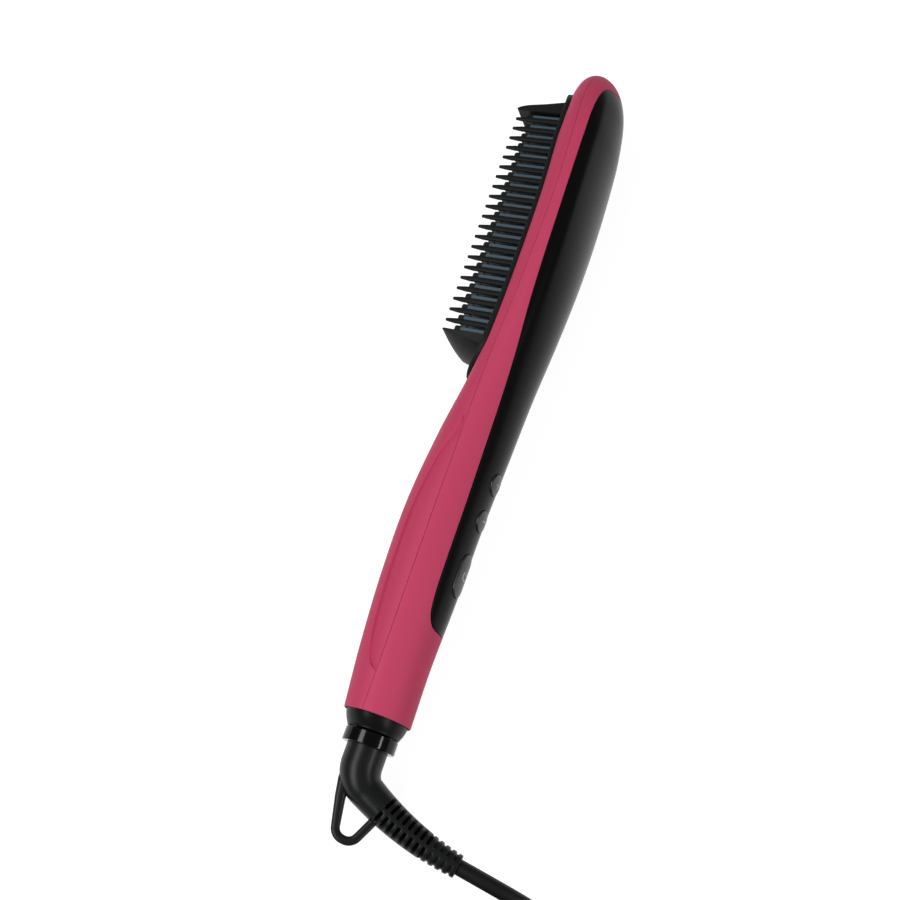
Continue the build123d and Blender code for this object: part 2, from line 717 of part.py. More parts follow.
# Mains cord: from the boot's end down to the table and round to the coil
boot_frame = to_origin * laid * Rot(0, math.degrees(roll), 0)
across, y, turn = boot_point(elbow_length + relief_length)
cord_exit = (boot_frame * Pos(across, y, 0)).position
exit_way = (boot_frame * Pos(across + math.sin(turn), y - math.cos(turn), 0)).position - cord_exit
coil_outer = coil_inner + coil_turns_in * coil_step
coil_start = Vector(coil_centre[0] + coil_outer, coil_centre[1], coil_floor)
cord_points = [cord_exit, cord_exit + exit_way * cord_straight, *[Vector(*point) for point in cord_route],
               coil_start + Vector(0, coil_lead, 0)]
corner_radii = []
for before, corner, after in zip(cord_points, cord_points[1:], cord_points[2:]):
    shorter = min((corner - before).length, (after - corner).length)
    half_turn = math.radians((corner - before).get_angle(after - corner)) / 2
    corner_radii.append(corner_share * shorter / math.tan(half_turn))
cord_line = FilletPolyline(*cord_points, radius=corner_radii)


def wire_tube(path, start, way):
    """A round cord along a path."""
    return sweep(Plane(origin=start, z_dir=way) * Circle(cord_radius), path=path)


def biarc(start, start_way, end, end_way):
    """Two tangent arcs from one place and direction to another."""
    span = end - start
    both = 2 * span.dot(start_way + end_way)
    spread = 2 * (1 - start_way.dot(end_way))
    reach = 2 * span.dot(span) / (both + math.sqrt(both**2 + 4 * spread * span.dot(span)))
    knee = start + start_way * reach
    middle = (knee + end - end_way * reach) * 0.5
    return [TangentArc(start, middle, tangent=start_way), TangentArc(middle, end, tangent=middle - knee)]


def coil_place(turns):
    """Where the coil's axis is, and which way it goes, after a number of turns."""
    climb_middle = coil_turns_in + coil_turns_climb / 2
    u = (turns - climb_middle) / (coil_turns_climb / 2)
    if abs(u) < 1:
        radius = coil_inner - coil_step * coil_turns_climb / 4 * (1 - u**2)
        rate = coil_step * u
        rise = coil_layer_step * (1 + math.sin(math.pi * u / 2)) / 2
        rise_rate = coil_layer_step * math.pi / 4 * math.cos(math.pi * u / 2) / (coil_turns_climb / 2)
    else:
        radius = coil_inner + coil_step * (abs(turns - climb_middle) - coil_turns_climb / 2)
        rate = math.copysign(coil_step, u)
        rise = coil_layer_step if u > 0 else 0.0
        rise_rate = 0.0
    angle = -2 * math.pi * turns
    place = Vector(coil_centre[0] + radius * math.cos(angle), coil_centre[1] + radius * math.sin(angle),
                   coil_floor + rise)
    way = Vector(rate * math.cos(angle) + 2 * math.pi * radius * math.sin(angle),
                 rate * math.sin(angle) - 2 * math.pi * radius * math.cos(angle), rise_rate)
    return place, way.normalized()


coil_turns = coil_turns_in + coil_turns_climb + coil_turns_out
coil_stops = [coil_place(k / 4) for k in range(round(4 * coil_turns) + 1)]
down_way = Vector(0, -1, 0)
plug_way = Vector(-1, 0, 0)
coil_stops[0] = (coil_stops[0][0], down_way)
coil_stops[-1] = (coil_stops[-1][0], down_way)
coil_edges = [Line(cord_points[-1], coil_stops[0][0])]
for (start, start_way), (end, end_way) in zip(coil_stops, coil_stops[1:]):
    coil_edges += biarc(start, start_way, end, end_way)
turns_end = coil_stops[-1][0]
level_end = Vector(turns_end.X, coil_centre[1] - plug_offset + plug_turn, turns_end.Z)
plug_thickness = max(thickness for back, width, thickness in plug_rings)
lead_end = Vector(turns_end.X - plug_turn, coil_centre[1] - plug_offset, plug_thickness / 2)
coil_edges.append(Line(turns_end, level_end))
coil_edges += biarc(level_end, down_way, lead_end, plug_way)
relief_start = lead_end + plug_way * coil_lead
coil_edges.append(Line(lead_end, relief_start))
row_pieces["cord"] = wire_tube(cord_line, cord_exit, exit_way)
coil_wire = Wire([edge.edge() for edge in coil_edges])
row_pieces["cord_coil"] = wire_tube(coil_wire, cord_points[-1], down_way)
print("cord exit", cord_exit, "way", exit_way, "arc radii", [round(radius, 1) for radius in corner_radii])
section = math.pi * cord_radius**2
coil_length = sum(edge.length for edge in coil_edges)
print("free stretch", round(cord_line.length, 1), "coil", round(coil_length, 1))
print("volume over section and length",
      [round(row_pieces[name].volume / section / length, 4)
       for name, length in (("cord", cord_line.length), ("cord_coil", coil_length))])
coil_samples = []
for edge in coil_edges:
    count = math.ceil(edge.length / cord_radius)
    coil_samples += [edge.position_at(k / count) for k in range(count)]
half_turn_samples = math.ceil(math.pi * coil_inner / cord_radius)
coil_gap = min((a - b).length for k, a in enumerate(coil_samples)
               for b in coil_samples[k + half_turn_samples:]) - 2 * cord_radius
print("coil's least gap to itself", round(coil_gap, 3), "wanted over", coil_least_gap)

# Tie round all the turns, with its two twisted tails on top
tie_low = coil_floor - cord_radius - tie_gap
tie_high = coil_floor + coil_layer_step + cord_radius + tie_gap
tie_inner = coil_inner - coil_step * coil_turns_climb / 4 - cord_radius - tie_gap
tie_outer = coil_outer + cord_radius + tie_gap
tie_middle = ((tie_inner + tie_outer) / 2, (tie_low + tie_high) / 2)
tie_size = (tie_outer - tie_inner, tie_high - tie_low)
tie_out = (math.cos(math.radians(tie_angle)), math.sin(math.radians(tie_angle)), 0)
tie_plane = Plane(origin=(*coil_centre, 0), x_dir=tie_out, z_dir=(tie_out[1], -tie_out[0], 0))
tie_hole = Pos(*tie_middle) * RectangleRounded(*tie_size, cord_radius)
tie_outside = Pos(*tie_middle) * RectangleRounded(
    tie_size[0] + 2 * tie_thickness, tie_size[1] + 2 * tie_thickness, cord_radius + tie_thickness)
tie = extrude(tie_plane * (tie_outside - tie_hole), tie_width / 2, both=True)
tail_low = tie_high + tie_thickness - tie_gap
tie_top = Pos(*coil_centre, tail_low + tie_thickness / 2) * Rot(0, 0, tie_angle) * Pos(tie_middle[0], 0, 0)
tail = Pos(tie_tail / 2, 0, 0) * Box(tie_tail, tie_tail_width, tie_thickness)
for lean in (-tie_lean, tie_lean):
    tie += tie_top * Rot(0, 0, 90 + lean) * tail
row_pieces["cord_tie"] = tie

# Plug, lying flat beside the coil
relief_end = relief_start + plug_way * plug_relief_length
plug_face = relief_end + plug_way * plug_rings[-1][0]
relief_cone = Plane(origin=relief_start, z_dir=plug_way) * Pos(0, 0, plug_relief_length / 2)
row_pieces["plug_relief"] = relief_cone * Cone(relief_end_radius, plug_relief_radius, plug_relief_length)
plug_wires = []
for back, width, thickness in plug_rings:
    plane = Plane(origin=plug_face - plug_way * back, x_dir=(0, 1, 0), z_dir=plug_way)
    plug_section = plane * RectangleRounded(width, thickness, plug_corner * thickness)
    plug_wires.append(plug_section.face().outer_wire())
row_pieces["plug_body"] = Solid.make_loft(plug_wires)
pins = []
for side in (-1, 1):
    pin = Pos(0, 0, (pin_length - pin_radius) / 2) * Cylinder(pin_radius, pin_length - pin_radius)
    pin += Pos(0, 0, pin_length - pin_radius) * Sphere(pin_radius)
    pins.append(Plane(origin=plug_face + Vector(0, side * pin_spacing / 2, 0), z_dir=plug_way) * pin)
row_pieces["plug_pins"] = Compound([pin.solid() for pin in pins])
print("plug face", plug_face, "relief from", relief_start)

os.makedirs("parts", exist_ok=True)
for name, shape in row_pieces.items():
    solids = shape.solids()
    shape = solids[0] if len(solids) == 1 else Compound(solids)
    print(name, len(solids), round(shape.volume, 1), shape.is_valid)
    export_step(shape, f"parts/{name}.step")
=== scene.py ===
import json
import math

import bmesh
import bpy
import numpy as np
from mathutils import Matrix


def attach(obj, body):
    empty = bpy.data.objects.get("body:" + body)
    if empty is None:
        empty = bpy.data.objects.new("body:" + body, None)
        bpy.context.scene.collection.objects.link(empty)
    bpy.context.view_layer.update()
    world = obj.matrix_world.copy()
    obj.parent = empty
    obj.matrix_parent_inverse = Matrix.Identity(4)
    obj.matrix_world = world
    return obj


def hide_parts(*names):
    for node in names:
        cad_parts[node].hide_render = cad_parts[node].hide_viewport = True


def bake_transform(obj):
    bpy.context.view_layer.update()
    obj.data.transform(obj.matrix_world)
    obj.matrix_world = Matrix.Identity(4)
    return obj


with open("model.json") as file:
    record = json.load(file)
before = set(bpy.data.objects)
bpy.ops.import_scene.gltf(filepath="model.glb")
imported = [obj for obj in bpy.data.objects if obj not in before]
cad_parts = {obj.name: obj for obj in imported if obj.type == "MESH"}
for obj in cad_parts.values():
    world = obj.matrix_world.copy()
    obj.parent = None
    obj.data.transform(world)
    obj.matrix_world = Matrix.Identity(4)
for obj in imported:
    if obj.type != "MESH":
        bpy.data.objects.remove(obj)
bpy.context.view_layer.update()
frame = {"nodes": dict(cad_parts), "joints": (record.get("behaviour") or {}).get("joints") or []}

print("stage: frame loaded")
scene = bpy.context.scene
scene.view_settings.view_transform = "Standard"
mm = 0.001

# The brush's own directions, read from its joints: out of the cover, along the body, out of the near flank
joints = {joint["name"]: joint for joint in frame["joints"]}
bodyStart = np.array(joints["cord_turn"]["pos_m"], float)
alongAxis = -np.array(joints["cord_turn"]["axis"], float)
backAxis = -np.array(joints["power_press"]["axis"], float)
sideAxis = np.cross(backAxis, alongAxis)
levelAxis = np.array([1.0, 0.0, 0.0])  # the cord boot lies level
bootUpAxis = np.cross(levelAxis, alongAxis)


def brushPlace(x, y, z):
    # millimetres out of the cover, along the body and across it, to metres on the table
    x, y, z = np.broadcast_arrays(x, y, z)
    return bodyStart + mm * (x[..., None] * backAxis + y[..., None] * alongAxis + z[..., None] * sideAxis)


def bootPlace(across, y, up):
    # the same for the cord boot, whose bend lies level
    across, y, up = np.broadcast_arrays(across, y, up)
    return bodyStart + mm * (across[..., None] * levelAxis + y[..., None] * alongAxis
                             + up[..., None] * bootUpAxis)


def unit(way):
    # directions, each made one long
    return way / np.linalg.norm(way, axis=-1, keepdims=True)


def joined(*parts):
    # numbers and rows of numbers, end to end
    return np.concatenate([np.atleast_1d(part) for part in parts])


def distanceAlong(path):
    # how far each point of a path is from its start, along it
    return joined(0, np.cumsum(np.linalg.norm(np.diff(path, axis=0), axis=1)))


def fullTurn(count):
    # even angles round a circle
    return np.linspace(0, 2 * np.pi, count, endpoint=False)


def quarterRound(radius, count=7):
    # a rounded edge on a quarter circle, from its side to its top: how far inwards, and how far down
    turn = np.linspace(0, np.pi / 2, count)
    return radius * (1 - np.cos(turn)), radius * (1 - np.sin(turn))


def eased(value):
    # a smooth step from 0 to 1: three times the square less twice the cube
    value = np.clip(value, 0, 1)
    return value * value * (3 - 2 * value)


def aim(held, place, above, back):
    # a camera or lamp at a place in metres, which looks the other way from back
    side = unit(np.cross(above, back))
    turned = np.eye(4)
    turned[:3, :3] = np.array([side, np.cross(back, side), back]).T
    turned[:3, 3] = place
    scene.collection.objects.link(held)
    held.matrix_world = Matrix(turned.tolist())


# Camera, at the photograph's viewing angle
cameraSet = {"place": (52.05, -171.41, 472.99), "look": (-0.13756, 0.32619, -0.93524),
             "up": (-0.29627, 0.88744, 0.35309), "lens": 53.32, "sensor": 36.0, "clip": 0.01}
camera = bpy.data.objects.new("camera", bpy.data.cameras.new("camera"))
camera.data.lens = cameraSet["lens"]
camera.data.sensor_width = cameraSet["sensor"]
camera.data.clip_start = cameraSet["clip"]
aim(camera, mm * np.array(cameraSet["place"]), cameraSet["up"], -unit(np.array(cameraSet["look"])))
scene.camera = camera


def linear(hexColour):
    # an sRGB hex value to linear red, green, blue, alpha
    channels = [int(hexColour[k:k + 2], 16) / 255 for k in (0, 2, 4)]
    return (*[c / 12.92 if c <= 0.04045 else ((c + 0.055) / 1.055) ** 2.4 for c in channels], 1.0)


def addNode(tree, kind, settings=None, links=None):
    # one node with its settings (sockets or properties) and what feeds its sockets
    made = tree.nodes.new(kind)
    for name, value in (settings or {}).items():
        if isinstance(name, int) or name in made.inputs:
            made.inputs[name].default_value = value
        else:
            setattr(made, name, value)
    for name, source in (links or {}).items():
        tree.links.new(source, made.inputs[name])
    return made


def startMaterial(name, **shaderValues):
    # a material whose shader sockets are set by their names, with _ for a space
    material = bpy.data.materials.new(name)
    material.use_nodes = True
    tree = material.node_tree
    shader = tree.nodes["Principled BSDF"]
    for socket, value in shaderValues.items():
        shader.inputs[socket.replace("_", " ")].default_value = value
    return material, tree, shader


def grained(name, colours, roughness, grain, grainHeight, specular=0.5, mottle=18.0, roughSpread=0.05,
            **shaderValues):
    # moulded plastic: two near colours in soft clouds, a fine spark-eroded grain, uneven gloss; sizes in mm
    material, tree, shader = startMaterial(name, Specular_IOR_Level=specular, **shaderValues)
    where = addNode(tree, "ShaderNodeTexCoord").outputs["Object"]
    clouds = addNode(tree, "ShaderNodeTexNoise", {"Scale": 1 / (mottle * mm), "Detail": 3.0},
                     {"Vector": where})
    blend = addNode(tree, "ShaderNodeMix", {"data_type": "RGBA"}, {0: clouds.outputs["Fac"]})
    blend.inputs[6].default_value, blend.inputs[7].default_value = map(linear, colours.split())
    tree.links.new(blend.outputs[2], shader.inputs["Base Color"])
    rough = addNode(tree, "ShaderNodeMapRange",
                    {"To Min": roughness - roughSpread, "To Max": roughness + roughSpread},
                    {"Value": clouds.outputs["Fac"]})
    tree.links.new(rough.outputs["Result"], shader.inputs["Roughness"])
    bumps = addNode(tree, "ShaderNodeTexNoise", {"Scale": 1 / (grain * mm), "Detail": 2.0}, {"Vector": where})
    bump = addNode(tree, "ShaderNodeBump", {"Strength": 1.0, "Distance": grainHeight * mm},
                   {"Height": bumps.outputs["Fac"]})
    tree.links.new(bump.outputs["Normal"], shader.inputs["Normal"])
    return material


def metal(name, colours, roughness, grain, grainHeight):
    # drawn, turned or plated metal: the same grain, with small patches of colour and gloss
    return grained(name, colours, roughness, grain, grainHeight, mottle=6.0, roughSpread=0.06, Metallic=1.0)


# Materials, each named for what the real one is: two colours, roughness, grain and its height in mm
materials = {
    # soft-touch ABS moulding: satin, no sparkle, a faint grain
    "pinkAbs": grained("satin_pink_abs", "c84165 c54063", 0.6, 0.35, 0.008, specular=0.25),
    # polished black ABS cover: glossy, with soft reflections and faint flow marks
    "coverAbs": grained("polished_black_abs", "090a0a 0c0c0d", 0.27, 6.0, 0.004, specular=0.08,
                        roughSpread=0.02),
    # glass-filled nylon of the comb: dull black, pulled grain
    "combNylon": grained("black_filled_nylon", "101212 151717", 0.58, 0.5, 0.012, specular=0.2),
    # cast aluminium under a ceramic coat: dark blue-grey with a soft metallic gloss
    "ceramicCoat": grained("ceramic_coated_aluminium", "5a6d79 4e5f6a", 0.4, 0.4, 0.01, Metallic=0.25),
    # heat-resistant coat on the fins' outer edges: dull black
    "edgeCoat": grained("black_heat_resistant_coat", "0f1111 131515", 0.5, 0.4, 0.01, specular=0.3),
    # button caps: satin black, a little lighter than the cover
    "buttonAbs": grained("satin_black_abs", "222324 282a2b", 0.34, 0.4, 0.006, IOR=1.5),
    # printed key marks: pale grey ink
    "keyInk": grained("pale_grey_ink", "a7a9aa b3b5b6", 0.5, 0.3, 0.003),
    # end cap and small inner mouldings: satin black
    "capAbs": grained("satin_black_cap_abs", "08090a 0b0c0c", 0.36, 0.4, 0.006, specular=0.15),
    # dark chrome plating of the collar: a dark mirror
    "darkChrome": metal("dark_chrome_plating", "242424 2d2c2b", 0.12, 2.0, 0.002),
    # soft PVC of the boot: dull, slightly waxy
    "bootPvc": grained("soft_black_pvc", "121314 171819", 0.34, 0.45, 0.008, specular=0.22),
    # cord sheath: smooth extruded PVC
    "cordPvc": grained("extruded_black_pvc", "0d0d0e 111112", 0.48, 0.6, 0.01, specular=0.22),
    # plug and its relief: moulded PVC, greyer than the sheath
    "plugPvc": grained("moulded_black_pvc", "161617 1c1c1d", 0.42, 0.4, 0.012, IOR=1.53),
    # tie: dull PVC strip
    "tiePvc": grained("black_tie_pvc", "18181a 1e1e20", 0.5, 0.4, 0.01),
    # plug pins: bright, slightly warm nickel
    "pinNickel": metal("nickel_plated_brass", "cfccc2 c4c1b6", 0.22, 0.3, 0.004),
    # screws and fuse: pale zinc with a soft shine
    "zincSteel": metal("zinc_plated_steel", "b9b8b2 a9a8a2", 0.35, 0.3, 0.006),
    # heater clamp: grey rolled sheet
    "springSteel": metal("rolled_spring_steel", "a6a7a6 979896", 0.32, 0.25, 0.006),
    # rings and blades: yellow turned brass
    "contactBrass": metal("turned_brass", "c9a65a bd9a50", 0.28, 0.3, 0.004),
    # heating element and sensor: matt off-white ceramic
    "alumina": grained("sintered_alumina", "d9d2c4 cfc7b8", 0.7, 0.3, 0.01),
    # insulation: brown-yellow flakes pressed flat
    "micaSheet": grained("pressed_mica", "b9a678 a79465", 0.45, 1.2, 0.02, mottle=3.0),
    # board: green lacquer over glass cloth
    "boardLaminate": grained("green_board_laminate", "1d5a30 19502a", 0.4, 0.6, 0.01),
    # capacitor: yellow case, half gloss
    "capacitorCase": grained("yellow_capacitor_case", "d0ad33 c9a52c", 0.45, 0.4, 0.008),
    # relay: dark grey case, satin
    "relayCase": grained("grey_relay_case", "33383c 3a3f43", 0.45, 0.4, 0.01),
    # leads: milky silicone sheath
    "leadSilicone": grained("white_silicone_lead", "c9c6bd bfbcb3", 0.55, 0.4, 0.01),
}
print("stage: materials")


def gridFaces(rows, columns, start=0, wrap=False):
    # four-sided faces between neighbouring rows and columns of a grid, joined round where it wraps
    row, column = np.meshgrid(np.arange(rows - 1), np.arange(columns if wrap else columns - 1), indexing="ij")
    after = (column + 1) % columns
    quads = np.stack([row * columns + column, row * columns + after,
                      (row + 1) * columns + after, (row + 1) * columns + column], -1)
    return quads.reshape(-1, 4) + start


def gridPiece(name, grids, material, crease=40.0, wrap=True, capped=True):
    # one piece from grids of points, rows by columns, each joined round and capped flat at both ends;
    # doubles merged, faces outwards, smooth up to a crease angle in degrees
    points, faces, start = [], [], 0
    for grid in grids:
        rows, columns = grid.shape[:2]
        points.append(grid.reshape(-1, 3))
        faces += gridFaces(rows, columns, start, wrap).tolist()
        if capped:
            faces.append(list(range(start, start + columns)))
            faces.append(list(range(start + (rows - 1) * columns, start + rows * columns)))
        start += rows * columns
    mesh = bpy.data.meshes.new(name)
    mesh.from_pydata(joined(*points).tolist(), [], faces)
    work = bmesh.new()
    work.from_mesh(mesh)
    bmesh.ops.remove_doubles(work, verts=work.verts, dist=0.002 * mm)
    bmesh.ops.dissolve_degenerate(work, edges=work.edges, dist=0.001 * mm)
    bmesh.ops.recalc_face_normals(work, faces=work.faces)
    work.to_mesh(mesh)
    work.free()
    mesh.shade_smooth()
    mesh.set_sharp_from_angle(angle=math.radians(crease))
    mesh.materials.append(materials[material])
    made = bpy.data.objects.new(name, mesh)
    scene.collection.objects.link(made)
    return made


def readVectors(items, name):
    # one vector of each vertex or face, as rows
    values = np.zeros(len(items) * 3)
    items.foreach_get(name, values)
    return values.reshape(-1, 3)


def addModifier(piece, kind, **settings):
    modifier = piece.modifiers.new(kind.lower(), kind)
    for name, value in settings.items():
        setattr(modifier, name, value)


def thicken(piece, thickness, thinFrom=12.0):
    # an open surface round the body's axis gets a wall inwards, in mm, which thins out this near to the tip
    mesh = piece.data
    fromStart = readVectors(mesh.polygons, "center") - bodyStart
    fromAxis = fromStart - (fromStart @ alongAxis)[:, None] * alongAxis
    if (fromAxis * readVectors(mesh.polygons, "normal")).sum() < 0:
        mesh.flip_normals()
    toTip = bodySet["length"] - (readVectors(mesh.vertices, "co") - bodyStart) @ alongAxis / mm
    group = piece.vertex_groups.new(name="wall")
    for index, share in enumerate(np.clip(toTip / thinFrom, 0.01, 1.0)):
        group.add([index], float(share), "REPLACE")
    addModifier(piece, "SOLIDIFY", thickness=thickness * mm, offset=-1.0, vertex_group="wall")


def finishPiece(piece, slot, *nodes, body="handle"):
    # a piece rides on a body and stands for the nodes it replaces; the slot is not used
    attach(piece, body)
    if nodes:
        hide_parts(*nodes)


# Mains cord: its route on the table, in mm, then the put-away turns
cordSet = {"radius": 2.7, "length": 1.75, "exit": (34.7396, -149.271, 16.1455),
           "exitWay": (0.986572, -0.163302, -0.002819), "level": 15.0,
           "route": [(62.5, -153.9, 12.0), (76.0, -157.5, 6.0), (89.5, -167.5, 3.85), (96.4, -184.0, 3.8)],
           "bendFrom": -149.9, "bendTo": -168.6, "bendSpan": (3.0, 88.0), "sides": 20}
coilSet = {"centre": (52.0, -205.0), "lead": 6.0, "floor": 3.8, "inner": 20.4, "step": 6.0, "layer": 5.9,
           "turnsIn": 4.0, "climb": 0.5, "turnsOut": 3.5, "perTurn": 16,
           "toPlug": [(93.4, -216.0, 9.7), (93.3, -232.0, 9.5), (87.5, -249.0, 8.3), (73.0, -256.5, 6.85),
                      (61.4, -256.6, 6.85)]}


def coilPoints(coil):
    # spiral in at a steady rate, climb a layer in the half turn where it reverses, spiral out again
    total = coil["turnsIn"] + coil["climb"] + coil["turnsOut"]
    turns = np.linspace(0, total, round(total * coil["perTurn"]) + 1)
    middle = coil["turnsIn"] + coil["climb"] / 2
    u = (turns - middle) / (coil["climb"] / 2)
    climbing = coil["inner"] - coil["step"] * coil["climb"] / 4 * (1 - u**2)
    steady = coil["inner"] + coil["step"] * (np.abs(turns - middle) - coil["climb"] / 2)
    radius = np.where(np.abs(u) < 1, climbing, steady)
    # a spline of order 3 runs inside its points
    radius = radius * 4 / (3 + np.cos(2 * np.pi / coil["perTurn"]))
    rise = coil["layer"] * (1 + np.sin(np.pi / 2 * np.clip(u, -1, 1))) / 2
    angle = -2 * np.pi * turns
    return np.stack([coil["centre"][0] + radius * np.cos(angle), coil["centre"][1] + radius * np.sin(angle),
                     coil["floor"] + rise], -1)


cordExit = np.array(cordSet["exit"])
coilStart = (coilSet["centre"][0] + coilSet["inner"] + coilSet["turnsIn"] * coilSet["step"],
             coilSet["centre"][1] + coilSet["lead"], coilSet["floor"])
cordPoints = joined([cordExit, cordExit + np.array(cordSet["exitWay"]) * cordSet["level"]],
                    cordSet["route"], [coilStart], coilPoints(coilSet)[1:-1], coilSet["toPlug"])
cordCurve = bpy.data.curves.new("cord_route", "CURVE")
cordCurve.dimensions = "3D"
cordCurve.resolution_u = 6
cordSpline = cordCurve.splines.new("NURBS")
cordSpline.points.add(len(cordPoints) - 1)
cordSpline.points.foreach_set("co", np.insert(cordPoints * mm, 3, 1, axis=1).ravel())
cordSpline.order_u = 3
cordSpline.use_endpoint_u = True
routeObject = bpy.data.objects.new("cord_route", cordCurve)
scene.collection.objects.link(routeObject)
bpy.context.view_layer.update()
cordPath = readVectors(bpy.data.meshes.new_from_object(routeObject).vertices, "co")
bpy.data.objects.remove(routeObject)

# circles square to the path, which never runs straight up
way = unit(np.gradient(cordPath, axis=0))
across = unit(np.cross(way, (0, 0, 1)))
above = np.cross(across, way)[:, None]
angle = fullTurn(cordSet["sides"])[:, None]
rings = cordSet["radius"] * mm * (np.cos(angle) * across[:, None] + np.sin(angle) * above)
cordTube = gridPiece("mains_cord", [cordPath[:, None] + rings], "cordPvc")
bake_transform(cordTube)
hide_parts("cord", "cord_coil")

# Body: stations along it (along, front line, back line, half width), then how it rounds off to the tip
bodySet = {
    "stations": np.array([
        (0.0, -12.3, 11.6, 13.0), (22.0, -14.6, 11.2, 14.3), (48.0, -16.3, 11.9, 15.9),
        (76.0, -16.5, 12.1, 17.0), (104.0, -13.8, 13.1, 17.3), (130.0, -9.4, 13.8, 17.6),
        (156.0, -6.9, 15.1, 18.8), (182.0, -5.8, 15.6, 20.4), (208.0, -5.8, 15.0, 21.4),
        (232.0, -7.6, 14.2, 21.4)]),
    "length": 268.0, "flankRound": 0.78, "tipCentre": -1.4, "tipDrift": 1.5,
    "plan": (46.0, 2.1), "side": (20.5, 2.2)}
seamLine = np.array([(-1.0, -1.1), (31.0, -0.4), (86.0, 0.2), (134.0, 0.5), (160.0, 2.3), (198.0, 4.0),
                     (228.0, 3.0), (246.0, 1.0), (271.0, -1.2)])
coverLine = np.array([(33.0, 11.9), (34.6, 10.1), (40.0, 8.9), (57.0, 8.6), (94.0, 8.8), (135.0, 9.1),
                      (160.0, 8.5), (200.0, 8.2), (228.0, 7.5), (250.0, 6.4), (256.6, 7.4), (258.6, 11.2)])
gripLine = np.array([(13.6, -0.9), (15.6, -3.8), (21.0, -6.6), (30.0, -8.3), (50.0, -9.4), (71.0, -9.2),
                     (86.0, -7.4), (97.0, -5.0), (102.0, -2.3), (108.5, 0.3)])


def throughStations(table, column, y):
    # a cubic through a table's stations, its slope at each taken from the neighbours
    at, value = table[:, 0], table[:, column]
    order = np.arange(len(at))
    low, high = np.maximum(order - 1, 0), np.minimum(order + 1, len(at) - 1)
    slope = (value[high] - value[low]) / (at[high] - at[low])
    k = np.clip(np.searchsorted(at, y) - 1, 0, len(at) - 2)
    span = at[k + 1] - at[k]
    u = (y - at[k]) / span
    return ((2 * u**3 - 3 * u**2 + 1) * value[k] + (u**3 - 2 * u**2 + u) * span * slope[k]
            + (3 * u**2 - 2 * u**3) * value[k + 1] + (u**3 - u**2) * span * slope[k + 1])


def curveThrough(points, count):
    # a smooth curve through points in a plane, by the distance along them, each coordinate a cubic
    along = distanceAlong(points)
    table = np.column_stack([along, points])
    at = along[-1] * (1 - np.cos(np.linspace(0, np.pi, count))) / 2
    return np.stack([throughStations(table, 1, at), throughStations(table, 2, at)], -1)


def tipRound(y, reach, power):
    # 1 along the body, falling to 0 over a superellipse's quarter that reaches back from the tip
    t = np.clip((y - bodySet["length"] + reach) / reach, 0, 1)
    return (1 - t**power) ** (1 / power)


def bodySection(y):
    # centre, crown radius, flank radius, half depth, half width, and the angle where crown and flank meet
    stations = bodySet["stations"]
    level = np.minimum(y, stations[-1, 0])
    front, back, halfWidth = (throughStations(stations, column, level) for column in (1, 2, 3))
    drift = np.clip((y - stations[-1, 0]) / (bodySet["length"] - stations[-1, 0]), 0, 1)
    centre = (front + back) / 2
    centre = centre + (bodySet["tipCentre"] - centre) * drift ** bodySet["tipDrift"]
    halfDepth = (back - front) / 2 * tipRound(y, *bodySet["side"])
    halfWidth = halfWidth * tipRound(y, *bodySet["plan"])
    flank = bodySet["flankRound"] * halfDepth
    crown = ((halfWidth - flank) ** 2 + halfDepth**2 - flank**2) / np.maximum(2 * (halfDepth - flank), 1e-9)
    return centre, crown, flank, halfDepth, halfWidth, np.arctan2(halfWidth - flank, crown - halfDepth)


def skinPlace(y, s, out=0.0):
    # a place on the body: along it, arc length s round the section from the cover's middle line, moved out
    y, s, out = np.broadcast_arrays(np.asarray(y, float), s, out)
    centre, crown, flank, halfDepth, halfWidth, corner = bodySection(y)
    first = crown * corner
    second = first + flank * (np.pi - 2 * corner)
    half = second + first
    s = np.where(s > half, s - 2 * half, s)
    a = np.abs(s)
    wide, narrow = crown + out, flank + out
    zones = [a < first, a < second]  # on the cover's crown, on the flank, and else on the tooth side's crown
    angle = np.select(zones, [a / np.maximum(crown, 1e-9), corner + (a - first) / np.maximum(flank, 1e-9)],
                      np.pi - (half - a) / np.maximum(crown, 1e-9))
    depth = np.select(zones, [halfDepth - crown + wide * np.cos(angle), narrow * np.cos(angle)],
                      crown - halfDepth + wide * np.cos(angle))
    width = np.where((a < first) | (a > second), wide * np.sin(angle),
                     halfWidth - flank + narrow * np.sin(angle))
    return centre + depth, y, np.sign(s) * width


def arcAt(y, x):
    # arc length from the cover's middle line to where the near flank has depth x
    centre, crown, flank, halfDepth, _, corner = bodySection(y)
    crown = np.maximum(crown, 1e-9)
    depth = np.clip(x - centre, -halfDepth, halfDepth)
    joint = flank * np.cos(corner)
    first = crown * corner
    half = 2 * first + flank * (np.pi - 2 * corner)
    onCrown = crown * np.arccos(np.clip((np.abs(depth) - halfDepth + crown) / crown, -1, 1))
    onFlank = first + flank * (np.arccos(np.clip(depth / np.maximum(flank, 1e-9), -1, 1)) - corner)
    return np.where(np.abs(depth) < joint, onFlank, np.where(depth > 0, onCrown, half - onCrown))


def halfAround(y):
    # arc length of half the section
    _, crown, flank, _, _, corner = bodySection(y)
    return 2 * crown * corner + flank * (np.pi - 2 * corner)


def arcLine(line, count=500):
    # a line drawn on the flank, as (along, arc length)
    curve = curveThrough(line, count)
    return np.stack([curve[:, 0], arcAt(curve[:, 0], curve[:, 1])], -1)


def offsetLine(line, distance):
    # a line moved sideways: to the right of its direction
    way = unit(np.gradient(line, axis=0))
    return line + distance * np.stack([way[:, 1], -way[:, 0]], -1)


